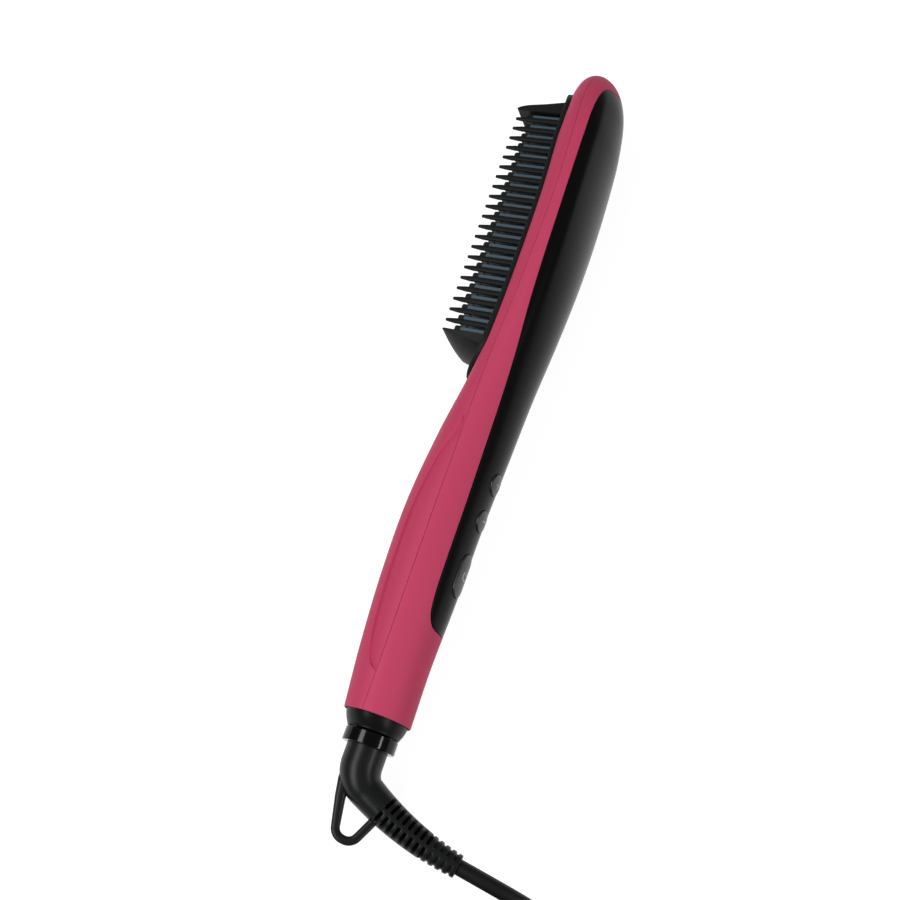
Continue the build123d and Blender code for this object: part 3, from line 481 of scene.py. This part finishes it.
def distanceTo(line, y, s):
    # least distance from places (y, s) to a line of many short pieces
    y, s = np.broadcast_arrays(y, s)
    place = np.stack([y.ravel(), s.ravel()], -1)
    start, step = line[:-1], np.diff(line, axis=0)
    size = np.maximum((step**2).sum(1), 1e-12)
    least = np.full(len(place), np.inf)
    for part in range(0, len(place), 4000):
        some = place[part:part + 4000]
        share = np.clip(((some[:, None] - start[None]) * step[None]).sum(2) / size, 0, 1)
        gap = np.linalg.norm(some[:, None] - start[None] - share[..., None] * step[None], axis=2)
        least[part:part + 4000] = gap.min(1)
    return least.reshape(y.shape)


def rolled(distance, radius):
    # how far an edge's rounding drops at a distance from it: a quarter circle
    inside = np.clip(radius - distance, 0, radius)
    return np.sqrt(np.maximum(radius**2 - inside**2, 0)) - radius


shellSet = {"seamGap": 0.03, "seamRound": 0.13, "coverGap": 0.12, "coverRound": 0.42, "shellRound": 0.3,
            "rimRound": 0.5, "fadeFrom": 8.0, "wall": 2.0, "thinFrom": 40.0, "coverWall": 1.5,
            "gripDepth": (0.15, 1.0), "gripEdge": 0.3, "gripLeast": 1.2,
            "rimRows": [0.0, 0.03, 0.1, 0.22, 0.36, 0.5, 0.8, 1.5], "middleRows": (2.5, 257.5),
            "tipRows": (10.0, 26, 2.2)}
seamCurve = curveThrough(seamLine, 500)
coverEdge = arcLine(coverLine, 700)
coverEdge[[0, -1], 1] = 0.0
offMiddle = np.flatnonzero(coverEdge[:, 1] > 0)  # the border ends where it first meets the middle line
coverEdge = coverEdge[offMiddle[0] - 1:offMiddle[-1] + 2]
gripArc = arcLine(gripLine)


def seamAt(y):
    # arc length from the cover's middle line to the seam
    return arcAt(y, np.interp(y, seamCurve[:, 0], seamCurve[:, 1]))


def spread(low, high, count, power=2.0):
    # places from low to high, close together at both ends
    t = np.linspace(-1, 1, count)
    t = np.sign(t) * (1 - (1 - np.abs(t)) ** power)
    return low + (high - low) * (t + 1) / 2


def edgeRows(line, reach=14, count=30):
    # places along the body at even steps along a border line, near both its ends, where it runs across
    travelled = distanceAlong(line)
    steps = joined(np.linspace(0, reach, count), travelled[-1] - np.linspace(reach, 0, count))
    return np.interp(steps, travelled, line[:, 0])


def inOrder(*groups):
    # groups of places along the body in one order, without doubles
    return np.unique(np.round(joined(*groups), 4))


def bodyRows(count):
    # places along the whole body: close together at the rim and towards the tip, even between
    reach, tipCount, power = shellSet["tipRows"]
    tipRows = bodySet["length"] - reach * np.linspace(1, 0, tipCount) ** power
    return joined(shellSet["rimRows"], np.linspace(*shellSet["middleRows"], count), tipRows)


def borderAt(line, y):
    # a border's arc length at places along the body, 0 where the line doesn't reach them, and where it does
    inside = (y > line[0, 0]) & (y < line[-1, 0])
    return np.interp(y, line[:, 0], line[:, 1]) * inside, inside


def fade(y):
    # gaps and roundings fade where the body closes
    return np.clip(halfAround(y) / shellSet["fadeFrom"], 0, 1)


def pinkShell(name, node, y, s, out):
    # a shell's near flank and its mirror image, its rim rounded, with a wall
    out = (out + rolled(y[:, None], shellSet["rimRound"])) * fade(y)[:, None]
    shell = gridPiece(name, [brushPlace(*skinPlace(y[:, None], s * side, out)) for side in (1, -1)],
                      "pinkAbs", crease=50, wrap=False, capped=False)
    thicken(shell, shellSet["wall"], shellSet["thinFrom"])
    finishPiece(shell, "pink_plastic", node)
    return shell


# Glossy cover: rows along the body, columns across from border to border
coverRows = inOrder(edgeRows(coverEdge), np.linspace(coverEdge[0, 0], coverEdge[-1, 0], 130))
s = np.interp(coverRows, coverEdge[:, 0], coverEdge[:, 1])[:, None] * spread(-1, 1, 49, 2.2)
out = rolled(distanceTo(coverEdge, coverRows[:, None], np.abs(s)), shellSet["coverRound"])
coverPiece = gridPiece("glossy_cover", [brushPlace(*skinPlace(coverRows[:, None], s, out))],
                       "coverAbs", crease=50, wrap=False, capped=False)
thicken(coverPiece, shellSet["coverWall"])
finishPiece(coverPiece, "gloss_black_plastic", "back_cover")

# Rear shell: a band on each flank from the cover's border to the seam, and round both ends
pinkEdge = offsetLine(coverEdge, -shellSet["coverGap"])
pinkEdge = joined([[pinkEdge[0, 0], 0.0]], pinkEdge, [[pinkEdge[-1, 0], 0.0]])
rearRows = inOrder(bodyRows(150), edgeRows(pinkEdge), pinkEdge[[0, -1], 0] + [-0.02, 0.02])
innerArc = borderAt(pinkEdge, rearRows)[0][:, None]
outerArc = (seamAt(rearRows) - shellSet["seamGap"] * fade(rearRows))[:, None]
s = innerArc + (outerArc - innerArc) * spread(0, 1, 36)
out = rolled(distanceTo(pinkEdge, rearRows[:, None], s), shellSet["shellRound"])
pinkShell("rear_pink_shell", "rear_shell", rearRows, s, out + rolled(outerArc - s, shellSet["seamRound"]))

# Front shell: from seam to seam round the tooth side, with a scooped grip on each flank
frontRows = inOrder(bodyRows(170), edgeRows(gripArc))
startArc = seamAt(frontRows) + shellSet["seamGap"] * fade(frontRows)
gripBorder, inGrip = borderAt(gripArc, frontRows)
gripBorder = np.maximum(gripBorder, startArc + shellSet["gripLeast"])
edge = 2 * shellSet["gripEdge"]
bands = [(startArc, gripBorder - edge, (1 - np.cos(np.linspace(0, np.pi, 14))) / 2),
         (gripBorder - edge, gripBorder + edge, np.linspace(0, 1, 11)[1:]),
         (gripBorder + edge, halfAround(frontRows), np.linspace(0, 1, 26)[1:])]
s = np.concatenate([low[:, None] + (high - low)[:, None] * steps for low, high, steps in bands], 1)
startArc, gripBorder = startArc[:, None], gripBorder[:, None]
within = np.where(inGrip[:, None] & (s < gripBorder), 1, -1) * distanceTo(gripArc, frontRows[:, None], s)
shallow, deep = shellSet["gripDepth"]
scoop = shallow + (deep - shallow) * np.clip((s - startArc) / (gripBorder - startArc), 0, 1)
out = -scoop * eased((within + shellSet["gripEdge"]) / edge) + rolled(s - startArc, shellSet["seamRound"])
frontShell = pinkShell("front_pink_shell", "front_shell", frontRows, s, out)
print("stage: shells and cover")

# Buttons: domed caps in wells in the cover (place, length, width), with their marks in ink
buttonPlaces = {"power_button": (55.6, 16.0, 8.0), "minus_button": (76.6, 8.0, 8.0),
                "plus_button": (91.0, 8.0, 8.0)}
buttonSet = {"proud": 0.9, "dome": 0.35, "round": 0.4, "below": 1.6, "gap": 0.28, "well": (-4.0, 2.0),
             "inkHigh": 0.03, "inkWide": 0.55, "inkThick": 0.06, "arc": (1.5, 35, 325)}


def facePlace(y, z, out, side=1):
    # the body's cover side (1) or tooth side (-1) at a place along and across it, moved out
    centre, crown, flank, halfDepth, halfWidth, corner = bodySection(y)
    width = np.abs(z)
    onCrown = halfDepth - crown + np.sqrt(np.maximum((crown + out) ** 2 - width**2, 0))
    onFlank = np.sqrt(np.maximum((flank + out) ** 2 - np.maximum(width - halfWidth + flank, 0) ** 2, 0))
    depth = np.where(width < (crown + out) * np.sin(corner), onCrown, onFlank)
    return brushPlace(centre + side * depth, y, z)


def slotOutline(length, width, shrink, count=72):
    # outline of a slot with round ends, moved in by shrink
    angle = (np.arange(count) + 0.5) * 2 * np.pi / count
    straight, radius = (length - width) / 2, width / 2 - np.asarray(shrink)[..., None]
    return straight * np.sign(np.cos(angle)) + radius * np.cos(angle), radius * np.sin(angle)


def domeHeight(shrink, width):
    # height over the cover: a parabola that rises from the button's outline to its middle
    return buttonSet["proud"] - buttonSet["dome"] * (1 - np.clip(shrink / (width / 2), 0, 1)) ** 2


def cutOut(piece, cutters):
    # cutters taken out of a piece, its modifiers made final
    for cutter in cutters:
        addModifier(piece, "BOOLEAN", operation="DIFFERENCE", object=cutter, solver="EXACT")
    bpy.context.view_layer.update()
    final = bpy.data.meshes.new_from_object(piece.evaluated_get(bpy.context.evaluated_depsgraph_get()))
    piece.modifiers.clear()
    piece.data = final
    final.set_sharp_from_angle(angle=math.radians(40))
    for cutter in cutters:
        bpy.data.objects.remove(cutter)


wells = []
for name, (y, length, width) in buttonPlaces.items():
    inward, down = quarterRound(buttonSet["round"])
    dome = np.linspace(buttonSet["round"], width / 2, 10)[1:]
    out = joined(-buttonSet["below"], domeHeight(buttonSet["round"], width) - down, domeHeight(dome, width))
    along, across = slotOutline(length, width, joined(0, inward, dome))
    cap = gridPiece(name + "_cap", [facePlace(y + along, across, out[:, None])], "buttonAbs", crease=45)
    finishPiece(cap, "gloss_black_plastic", name, body=name + "_body")
    along, across = slotOutline(length, width, [-buttonSet["gap"]] * 2)
    well = facePlace(y + along, across, np.array(buttonSet["well"])[:, None])
    wells.append(gridPiece(name + "_well", [well], "coverAbs"))
cutOut(coverPiece, wells)


def onDome(y, width, flat):
    # flat points (along, across) laid on a button's dome
    shrink = width / 2 - np.linalg.norm(flat, axis=-1)
    return facePlace(y + flat[..., 0], flat[..., 1], domeHeight(shrink, width) + buttonSet["inkHigh"])


def inkBar(start, end):
    # a thin printed bar between two points, as two lines side by side
    start, end = np.array(start), np.array(end)
    way = unit(end - start)
    line = start + (end - start) * np.linspace(0, 1, 12)[:, None]
    aside = buttonSet["inkWide"] / 2 * np.array([-way[1], way[0]])
    return np.stack([line - aside, line + aside], 1)


def inkArc(radius, start, end):
    # a thin printed arc between two angles
    angle = np.radians(np.linspace(start, end, 40))[:, None]
    radii = radius + buttonSet["inkWide"] / 2 * np.array([-1, 1])
    return np.stack([radii * np.cos(angle), radii * np.sin(angle)], -1)


# plus, minus and the usual broken circle with a bar
marks = {"plus_button": [inkBar((-1.5, 0), (1.5, 0)), inkBar((0, -1.5), (0, -0.3)),
                         inkBar((0, 0.3), (0, 1.5))],
         "minus_button": [inkBar((0, -1.5), (0, 1.5))],
         "power_button": [inkBar((0.2, 0), (1.9, 0)), inkArc(*buttonSet["arc"])]}
for name, flats in marks.items():
    y, _, width = buttonPlaces[name]
    flats = [onDome(y, width, flat) for flat in flats]
    ink = gridPiece(name + "_mark", flats, "keyInk", wrap=False, capped=False)
    addModifier(ink, "SOLIDIFY", thickness=buttonSet["inkThick"] * mm, offset=0.0)
    finishPiece(ink, "gloss_black_plastic", body=name + "_body")
print("stage: buttons")

# Comb: a flange on the shell, two rows of teeth and a guard at each end
combSet = {"middle": 192.0, "length": 128.0, "halfWidth": 15.3, "corner": 13.0, "proud": 1.8, "round": 0.5,
           "under": -1.2, "back": -1.6, "deep": -2.6, "inner": (0.3, 0.65, 0.93, 1.0), "innerDrop": 0.25,
           "wall": 0.6, "teeth": 21, "first": 146.4, "pitch": 4.57, "tips": (-23.3, -25.6)}
# a tooth's half sizes along and across the body, and its domed end as (height, share of the width)
toothSet = {"row": 12.7, "root": (1.1, 0.7), "shoulder": (1.0, 0.7), "point": (0.55, 0.5), "pointLength": 4.0,
            "square": 0.6, "dome": np.array([(0.12, 0.97), (0.24, 0.85), (0.33, 0.62), (0.37, 0.3)])}
finSet = {"thick": 1.7, "belowTip": 3.9, "corner": 1.4, "halfWidth": 11.85, "root": -3.8, "foot": -2.8,
          "back": -0.1, "edge": 0.25, "baseRound": 0.3, "baseCorner": 0.5, "gap": 0.3, "shellGap": 1.9,
          "windowCorner": 0.4, "cutTo": -30.0, "coat": 0.22, "coatDepth": 2.5}
guardSet = {"handle": [(0.0, -22.4), (1.3, -23.1), (2.9, -22.0), (6.3, -18.0), (8.5, -12.4), (9.8, -7.0)],
            "tip": [(0.0, -25.9), (0.7, -26.3), (1.6, -25.2), (2.6, -22.3), (3.8, -15.5), (5.6, -7.0)],
            "reach": {"handle": (0.72, 0.3), "tip": (1.0, 1.0)}, "gap": 3.8, "half": 13.4, "inset": 0.4,
            "cornerRest": 0.5, "round": 0.45}
toothPlaces = combSet["first"] + combSet["pitch"] * np.arange(combSet["teeth"])
guardEdges = (toothPlaces[0] - guardSet["gap"], toothPlaces[-1] + guardSet["gap"])
heaterMiddle = sum(guardEdges) / 2
heaterHalf = (guardEdges[1] - guardEdges[0]) / 2 - finSet["gap"]


def tipAt(y):
    # depth of the teeth's tips: a straight line along the comb
    low, high = combSet["tips"]
    return low + (high - low) * (y - toothPlaces[0]) / (toothPlaces[-1] - toothPlaces[0])


def roundedBox(halfLength, halfWidth, corner, count=40, between=60):
    # outline of a rectangle: a quarter circle of points at each corner, and its straight sides between them
    turn = np.linspace(0, np.pi / 2, count) + np.arange(4)[:, None] * np.pi / 2
    share = np.linspace(0, 1, between + 2)[1:-1]
    outline = []
    for signs, half, wave in (([1, -1, -1, 1], halfLength, np.cos), ([1, 1, -1, -1], halfWidth, np.sin)):
        bends = np.array(signs)[:, None] * (half - corner) + corner * wave(turn)
        last, following = bends[:, -1:], np.roll(bends, -1, 0)[:, :1]
        outline.append(np.concatenate([bends, last + (following - last) * share], 1).ravel())
    return outline


def heaterBox(grow, corner, count=40):
    # the heater's outline, grown all round
    along, across = roundedBox(heaterHalf + grow, finSet["halfWidth"] + grow, corner, count)
    return heaterMiddle + along, across


window = brushPlace(np.array([[finSet["cutTo"]], [combSet["back"]]]),
                    *heaterBox(finSet["shellGap"], finSet["windowCorner"]))
cutOut(frontShell, [gridPiece("comb_window", [window], "pinkAbs")])
flangeRows = []
inward, down = quarterRound(combSet["round"])
for inside, out in zip([0.0, *inward], [combSet["under"], *(combSet["proud"] - down)]):
    along, across = roundedBox(combSet["length"] / 2 - inside, combSet["halfWidth"] - inside,
                               combSet["corner"] - inside)
    along = combSet["middle"] + along
    flangeRows.append(facePlace(along, across, out, -1))
windowAlong, windowAcross = heaterBox(finSet["gap"], finSet["windowCorner"])
for share in combSet["inner"]:
    out = combSet["proud"] - combSet["innerDrop"] * (share == 1.0)
    flangeRows.append(facePlace(along + (windowAlong - along) * share,
                                across + (windowAcross - across) * share, out, -1))
flangeRows.append(brushPlace(combSet["back"], windowAlong, windowAcross))

# teeth: sections along each, a rounded oblong that narrows to the point and ends in a small dome
endHigh, endShare = toothSet["dome"].T
half, thick = (joined(np.linspace(root, shoulder, 5), np.linspace(shoulder, point, 6)[1:],
                      point * endShare)[:, None]
               for root, shoulder, point in zip(toothSet["root"], toothSet["shoulder"], toothSet["point"]))
oblongAlong, oblongAcross = (np.sign(wave) * np.abs(wave) ** toothSet["square"]
                             for wave in (np.cos(fullTurn(20)), np.sin(fullTurn(20))))
combGrids = []
for y in toothPlaces:
    shoulderAt, domeAt = tipAt(y) + toothSet["pointLength"], tipAt(y) + endHigh[-1]
    depth = joined(np.linspace(combSet["deep"], shoulderAt, 5), np.linspace(shoulderAt, domeAt, 6)[1:],
                   domeAt - endHigh)[:, None]
    for row in (toothSet["row"], -toothSet["row"]):
        combGrids.append(brushPlace(depth, y + half * oblongAlong, row + thick * oblongAcross))
finishPiece(gridPiece("comb_teeth", combGrids, "combNylon", crease=50), "black_comb_plastic", "comb_frame")
flange = gridPiece("comb_flange", [np.stack(flangeRows)], "combNylon", capped=False)
thicken(flange, combSet["wall"])
finishPiece(flange, "black_comb_plastic")

# guards: a curved wedge across the comb at each end, out along the body by depth
for name, edge, way in (("handle", guardEdges[0], -1), ("tip", guardEdges[1], 1)):
    outer = curveThrough(np.array(guardSet[name]), 40)
    proud = joined(outer[:, 0], outer[-1, 0], np.zeros(7))
    depth = joined(outer[:, 1], combSet["deep"], np.linspace(combSet["deep"], outer[0, 1], 8)[:-1])
    cornerAt = combSet["middle"] + way * (combSet["length"] / 2 - combSet["corner"])
    past = np.clip(way * (edge - cornerAt) + proud, 0, combSet["corner"] - guardSet["cornerRest"])
    half = combSet["halfWidth"] - combSet["corner"] + np.sqrt(combSet["corner"] ** 2 - past**2)
    half = np.minimum(half - guardSet["inset"], guardSet["half"])
    place = np.sin(np.linspace(-np.pi / 2, np.pi / 2, 25))[:, None]
    middleReach, sideReach = guardSet["reach"][name]
    reach = sideReach + (middleReach - sideReach) * (1 - place**2)
    guard = gridPiece("comb_guard_" + name, [brushPlace(depth, edge + way * proud * reach, place * half)],
                      "combNylon", crease=45)
    addModifier(guard, "BEVEL", width=guardSet["round"] * mm, segments=3, limit_method="ANGLE",
                angle_limit=math.radians(40))
    finishPiece(guard, "black_comb_plastic")
print("stage: comb")

# Heater: a base in the window and a coated fin on each side of every pair of teeth
finPlaces = combSet["first"] + combSet["pitch"] * (np.arange(combSet["teeth"] + 1) - 0.5)


def finGrid(y, top, bottom, grow):
    # one fin, or the black coat round its outer end: outlines with two round corners, across its thickness
    thick, edge = finSet["thick"] / 2 + grow, finSet["edge"]
    loops = []
    for inside, place in [(edge, -thick), (0.0, -thick + edge), (0.0, thick - edge), (edge, thick)]:
        half = finSet["halfWidth"] + grow - inside
        aside, below = quarterRound(finSet["corner"] - inside, 10)
        bend = top - grow + inside + below
        loops.append(brushPlace(joined(bend, bend[::-1], bottom, bottom), y + place,
                                joined(half - aside, aside[::-1] - half, -half, half)))
    return np.stack(loops)


heaterGrids, coatGrids = [], []
for y in finPlaces:
    top = tipAt(y) + finSet["belowTip"]
    heaterGrids.append(finGrid(y, top, finSet["foot"], 0.0))
    coatGrids.append(finGrid(y, top, top + finSet["coatDepth"], finSet["coat"]))
root, roll = finSet["root"], finSet["baseRound"]
heaterGrids.append(np.stack([brushPlace(depth, *heaterBox(-inside, finSet["baseCorner"], 6))
                             for inside, depth in ((roll, root), (0.0, root + roll), (0.0, finSet["back"]))]))
heater = gridPiece("heater_fins", heaterGrids, "ceramicCoat", crease=35)
finishPiece(heater, "coated_aluminium", "heater_comb")
finishPiece(gridPiece("fin_edge_coat", coatGrids, "edgeCoat", crease=35), "coated_aluminium")
print("stage: heater")

# Cord end: cap on the rim, and the swivel's collar
capSet = {"inset": 1.0, "length": 5.2, "endRadius": 9.4, "round": 0.6, "bore": 6.3, "boreDepth": 2.5,
          "bulge": 0.25, "lip": [(2.0, -1.8), (0.12, -0.6), (0.0, -0.12)], "step": 0.1}
collarSet = {"start": -5.45, "end": -10.25, "radius": 9.35, "round": 0.4, "bore": 6.1, "wall": 0.5,
             "sides": 96}
ovalX, _, ovalZ = skinPlace(0.0, np.linspace(-1, 1, 96, endpoint=False) * halfAround(0.0), -capSet["inset"])
ovalTurn = np.arctan2(ovalZ, ovalX)


def capRow(share, y, grow=0.0):
    # between the rim's oval (share 0) and the end's circle (share 1)
    x = ovalX + (capSet["endRadius"] * np.cos(ovalTurn) - ovalX) * share
    z = ovalZ + (capSet["endRadius"] * np.sin(ovalTurn) - ovalZ) * share
    reach = np.hypot(x, z)
    return brushPlace(x * (reach + grow) / reach, y, z * (reach + grow) / reach)


capRows = [capRow(0, y, grow) for y, grow in capSet["lip"]]
capEnd, bore = -capSet["length"], capSet["bore"] - capSet["endRadius"]
for share in np.linspace(0, 1, 12)[:-1]:
    y = -capSet["step"] - (capSet["length"] - capSet["round"] - capSet["step"]) * share
    capRows.append(capRow(share, y, capSet["bulge"] * np.sin(np.pi * share)))
for inward, down in zip(*quarterRound(capSet["round"])):
    capRows.append(capRow(1, capEnd + down, -inward))
capRows += [capRow(1, capEnd, bore), capRow(1, capEnd + capSet["boreDepth"], bore)]
finishPiece(gridPiece("cord_end_cap", [np.stack(capRows)], "capAbs"), "black_plastic", "end_cap")

# collar: its profile (along the body, radius) turned round the body's axis
low, high, radius, bore = (collarSet[key] for key in ("end", "start", "radius", "bore"))
inward, down = quarterRound(collarSet["round"])
along = joined(high, high - inward, low + inward[::-1], low)[:, None]
radii = joined(bore, radius - down, radius - down[::-1], bore)[:, None]
angle = fullTurn(collarSet["sides"])
collar = gridPiece("swivel_collar_ring", [brushPlace(radii * np.cos(angle), along, radii * np.sin(angle))],
                   "darkChrome", capped=False)
thicken(collar, collarSet["wall"])
finishPiece(collar, "collar_chrome", "swivel_collar", body="cord_swivel")

# Boot: neck, elbow and a ribbed relief that keeps bending, with the hanging loop moulded on
bootSet = {"start": -10.25, "elbowStart": -15.45, "elbowRadius": 9.7, "elbowTurn": 60.6, "length": 38.6,
           "turn": 20.0, "neck": 7.2, "from": 6.1, "to": 4.0, "sides": 96, "ribs": 12, "ribsFrom": 8.0,
           "slotDepth": 2.0, "slotWide": 0.6, "slotSlope": 0.28, "openRibs": 4, "openDepth": 0.35,
           "spine": 0.9, "spineSlope": 0.5, "rim": 0.84, "rimSlope": 0.1, "lastRow": 0.25,
           "end": np.array([(0.1, 3.95), (0.22, 3.75), (0.28, 3.4), (0.28, 2.75)])}
loopSet = {"bar": 1.5345, "square": 3.0, "corner": 4.0, "sides": 32,
           "points": [(-3.7, -13.0), (-3.9, -22.0), (-3.1, -28.5), (-0.8, -40.4), (5.5, -41.3), (9.6, -33.2),
                      (12.0, -26.5)],
           "webFrom": -31.0, "webTo": -26.0, "webSide": 3.0, "web": 0.42}
elbow = math.radians(bootSet["elbowTurn"]) * bootSet["elbowRadius"]


def bootLine(s):
    # across, along and turn of the boot's centre line, by the length from the elbow's start: two arcs in one
    # bend, the second wider
    radius, wide = bootSet["elbowRadius"], bootSet["length"] / math.radians(bootSet["turn"])
    turn = np.clip(s, 0, elbow) / radius
    after = turn + np.maximum(s - elbow, 0) / wide
    across = radius * (1 - np.cos(turn)) + wide * (np.cos(turn) - np.cos(after))
    down = radius * np.sin(turn) + wide * (np.sin(after) - np.sin(turn)) + np.minimum(s, 0)
    return across, bootSet["elbowStart"] - down, after


def ringsAlong(across, y, turn, radius, angle):
    # rings square to a line that lies level; angle 0 points up from the table
    across, y, turn, out = across[:, None], y[:, None], turn[:, None], radius * np.sin(angle)
    return bootPlace(across + out * np.cos(turn), y + out * np.sin(turn), radius * np.cos(angle))


bootEnd, ribStart = elbow + bootSet["length"], elbow + bootSet["ribsFrom"]
pitch = (bootSet["length"] - bootSet["ribsFrom"]) / bootSet["ribs"]
ribShare = np.array([0.0, 0.04, 0.09, 0.14, 0.2, 0.3, 0.4, 0.46, 0.51, 0.56, 0.62, 0.72, 0.85, 0.95])
ribPlaces = ribStart + pitch * (np.arange(bootSet["ribs"])[:, None] + ribShare).ravel()
s = joined(np.linspace(bootSet["elbowStart"] - bootSet["start"], 0, 5)[:-1], np.linspace(0, elbow, 26),
           np.linspace(elbow, ribStart, 6)[1:-1], ribPlaces, [bootEnd - bootSet["lastRow"], bootEnd])
radius = bootSet["neck"] + (bootSet["from"] - bootSet["neck"]) * np.clip(s / elbow, 0, 1) ** 2
radius = radius + (bootSet["to"] - bootSet["from"]) * np.clip((s - elbow) / bootSet["length"], 0, 1)
ribNumber = (s - ribStart) / pitch
slotShare = eased((bootSet["slotWide"] - ribNumber % 1) / bootSet["slotSlope"])
slotShare = slotShare * eased(ribNumber % 1 / bootSet["slotSlope"]) * (s > ribStart)
openShare = eased(ribNumber - bootSet["ribs"] + bootSet["openRibs"] + 1)  # the last slots run right round
slotDepth = bootSet["slotDepth"] * slotShare * (1 - (1 - bootSet["openDepth"]) * openShare)
angle = fullTurn(bootSet["sides"])
aside = np.abs(np.sin(angle))
spine = eased((radius[:, None] * aside - bootSet["spine"]) / bootSet["spineSlope"] + 0.5)
closed = eased((aside - bootSet["rim"]) / bootSet["rimSlope"]) * (1 - openShare[:, None])
ringRadius = radius[:, None] - slotDepth[:, None] * spine * (1 - closed)
ringRadius = joined(ringRadius, np.repeat(bootSet["end"][:, 1:], bootSet["sides"], 1))
bootGrid = ringsAlong(*bootLine(joined(s, bootEnd + bootSet["end"][:, 0])), ringRadius, angle)


def filletLine(points, corner, count=9):
    # straight runs joined by arcs in a plane, as points; an arc takes at most 0.48 of a run
    points = np.array(points, float)
    line = [points[0]]
    for before, here, after in zip(points, points[1:], points[2:]):
        inWay, outWay = unit(before - here), unit(after - here)
        half = np.arccos(np.clip(inWay @ outWay, -1, 1)) / 2
        shorter = min(np.linalg.norm(before - here), np.linalg.norm(after - here))
        cut = min(corner / np.tan(half), 0.48 * shorter)
        middle = here + unit(inWay + outWay) * cut * np.tan(half) / np.sin(half)
        start, end = here + inWay * cut - middle, here + outWay * cut - middle
        square = np.array([-start[1], start[0]])
        turn = np.arctan2(square @ end, start @ end) * np.linspace(0, 1, count)[:, None]
        line.extend(middle + np.cos(turn) * start + np.sin(turn) * square)
    return np.array(line + [points[-1]])


loopLine = filletLine(loopSet["points"], loopSet["corner"])
loopWay = np.gradient(loopLine, axis=0)
loopTurn = np.arctan2(loopWay[:, 0], -loopWay[:, 1])
angle, power = fullTurn(loopSet["sides"]), loopSet["square"]
square = (np.abs(np.cos(angle)) ** power + np.abs(np.sin(angle)) ** power) ** (-1 / power)
web = eased((loopLine[:, 1] - loopSet["webFrom"]) / (loopSet["webTo"] - loopSet["webFrom"]))
web = web * (loopLine[:, 0] < loopSet["webSide"])  # the bar grows wider where it joins the neck
barRadius = loopSet["bar"] * (1 + loopSet["web"] * web)[:, None] * square
loopGrid = ringsAlong(loopLine[:, 0], loopLine[:, 1], loopTurn, barRadius, angle)
boot = gridPiece("ribbed_cord_boot", [bootGrid, loopGrid], "bootPvc", crease=38)
finishPiece(boot, "boot_rubber", "cord_boot", body="cord_swivel")
print("stage: cord end")

# What stays as the solids have it gets its own material
nodeMaterials = {
    "zincSteel": ["shell_screws", "clamp_screws", "board_screws", "thermal_fuse"],
    "alumina": ["heating_element", "thermistor"], "micaSheet": ["mica_sheet"],
    "springSteel": ["heater_clamp"], "boardLaminate": ["circuit_board"],
    "capacitorCase": ["filter_capacitor"], "relayCase": ["relay"],
    "capAbs": ["tact_switches", "terminal_block", "swivel_barrel", "contact_block"],
    "leadSilicone": ["heater_leads", "mains_leads"], "contactBrass": ["contact_rings", "contact_blades"],
    "tiePvc": ["cord_tie"], "plugPvc": ["plug_relief", "plug_body"], "pinNickel": ["plug_pins"]}
for finish, names in nodeMaterials.items():
    for name in names:
        frame["nodes"][name].data.materials.clear()
        frame["nodes"][name].data.materials.append(materials[finish])

# Table, light
tableSet = {"size": 3.0, "colour": "a8a8a8", "roughness": 0.9, "shown": 0.86}
lightSet = {"key": {"place": (-0.62, -0.33, 0.95), "size": (0.4, 1.1), "power": 9.4},
            "second": {"place": (0.92, -0.3, 0.74), "size": (0.14, 1.1), "power": 5.6}}
worldSet = {"colour": "ffffff", "strength": 0.2}
materials["whiteTable"], tree, shader = startMaterial(
    "white_table", Base_Color=linear(tableSet["colour"]), Roughness=tableSet["roughness"],
    Specular_IOR_Level=0.0, Emission_Color=(1, 1, 1, 1))
# the table shows pale to the eye, and in gloss and glass
rays = addNode(tree, "ShaderNodeLightPath").outputs
seen = rays["Is Camera Ray"]
for ray in ("Is Glossy Ray", "Is Transmission Ray"):
    both = addNode(tree, "ShaderNodeMath", {"operation": "ADD", "use_clamp": True}, {0: seen, 1: rays[ray]})
    seen = both.outputs[0]
shown = addNode(tree, "ShaderNodeMath", {"operation": "MULTIPLY", 1: tableSet["shown"]}, {0: seen})
tree.links.new(shown.outputs[0], shader.inputs["Emission Strength"])
half = tableSet["size"] / 2
corners = np.array([[(-half, -half, 0), (half, -half, 0)], [(-half, half, 0), (half, half, 0)]])
table = gridPiece("table", [corners], "whiteTable", wrap=False, capped=False)
for name, values in lightSet.items():
    lamp = bpy.data.lights.new(name, "AREA")
    lamp.shape = "RECTANGLE"
    lamp.size, lamp.size_y = values["size"]
    lamp.energy = values["power"]
    aim(bpy.data.objects.new(name, lamp), values["place"], (0, 1, 0), unit(np.array(values["place"])))
world = bpy.data.worlds.new("studio")
scene.world = world
world.use_nodes = True
background = world.node_tree.nodes["Background"]
background.inputs["Color"].default_value = linear(worldSet["colour"])
background.inputs["Strength"].default_value = worldSet["strength"]
print("stage: table and light")
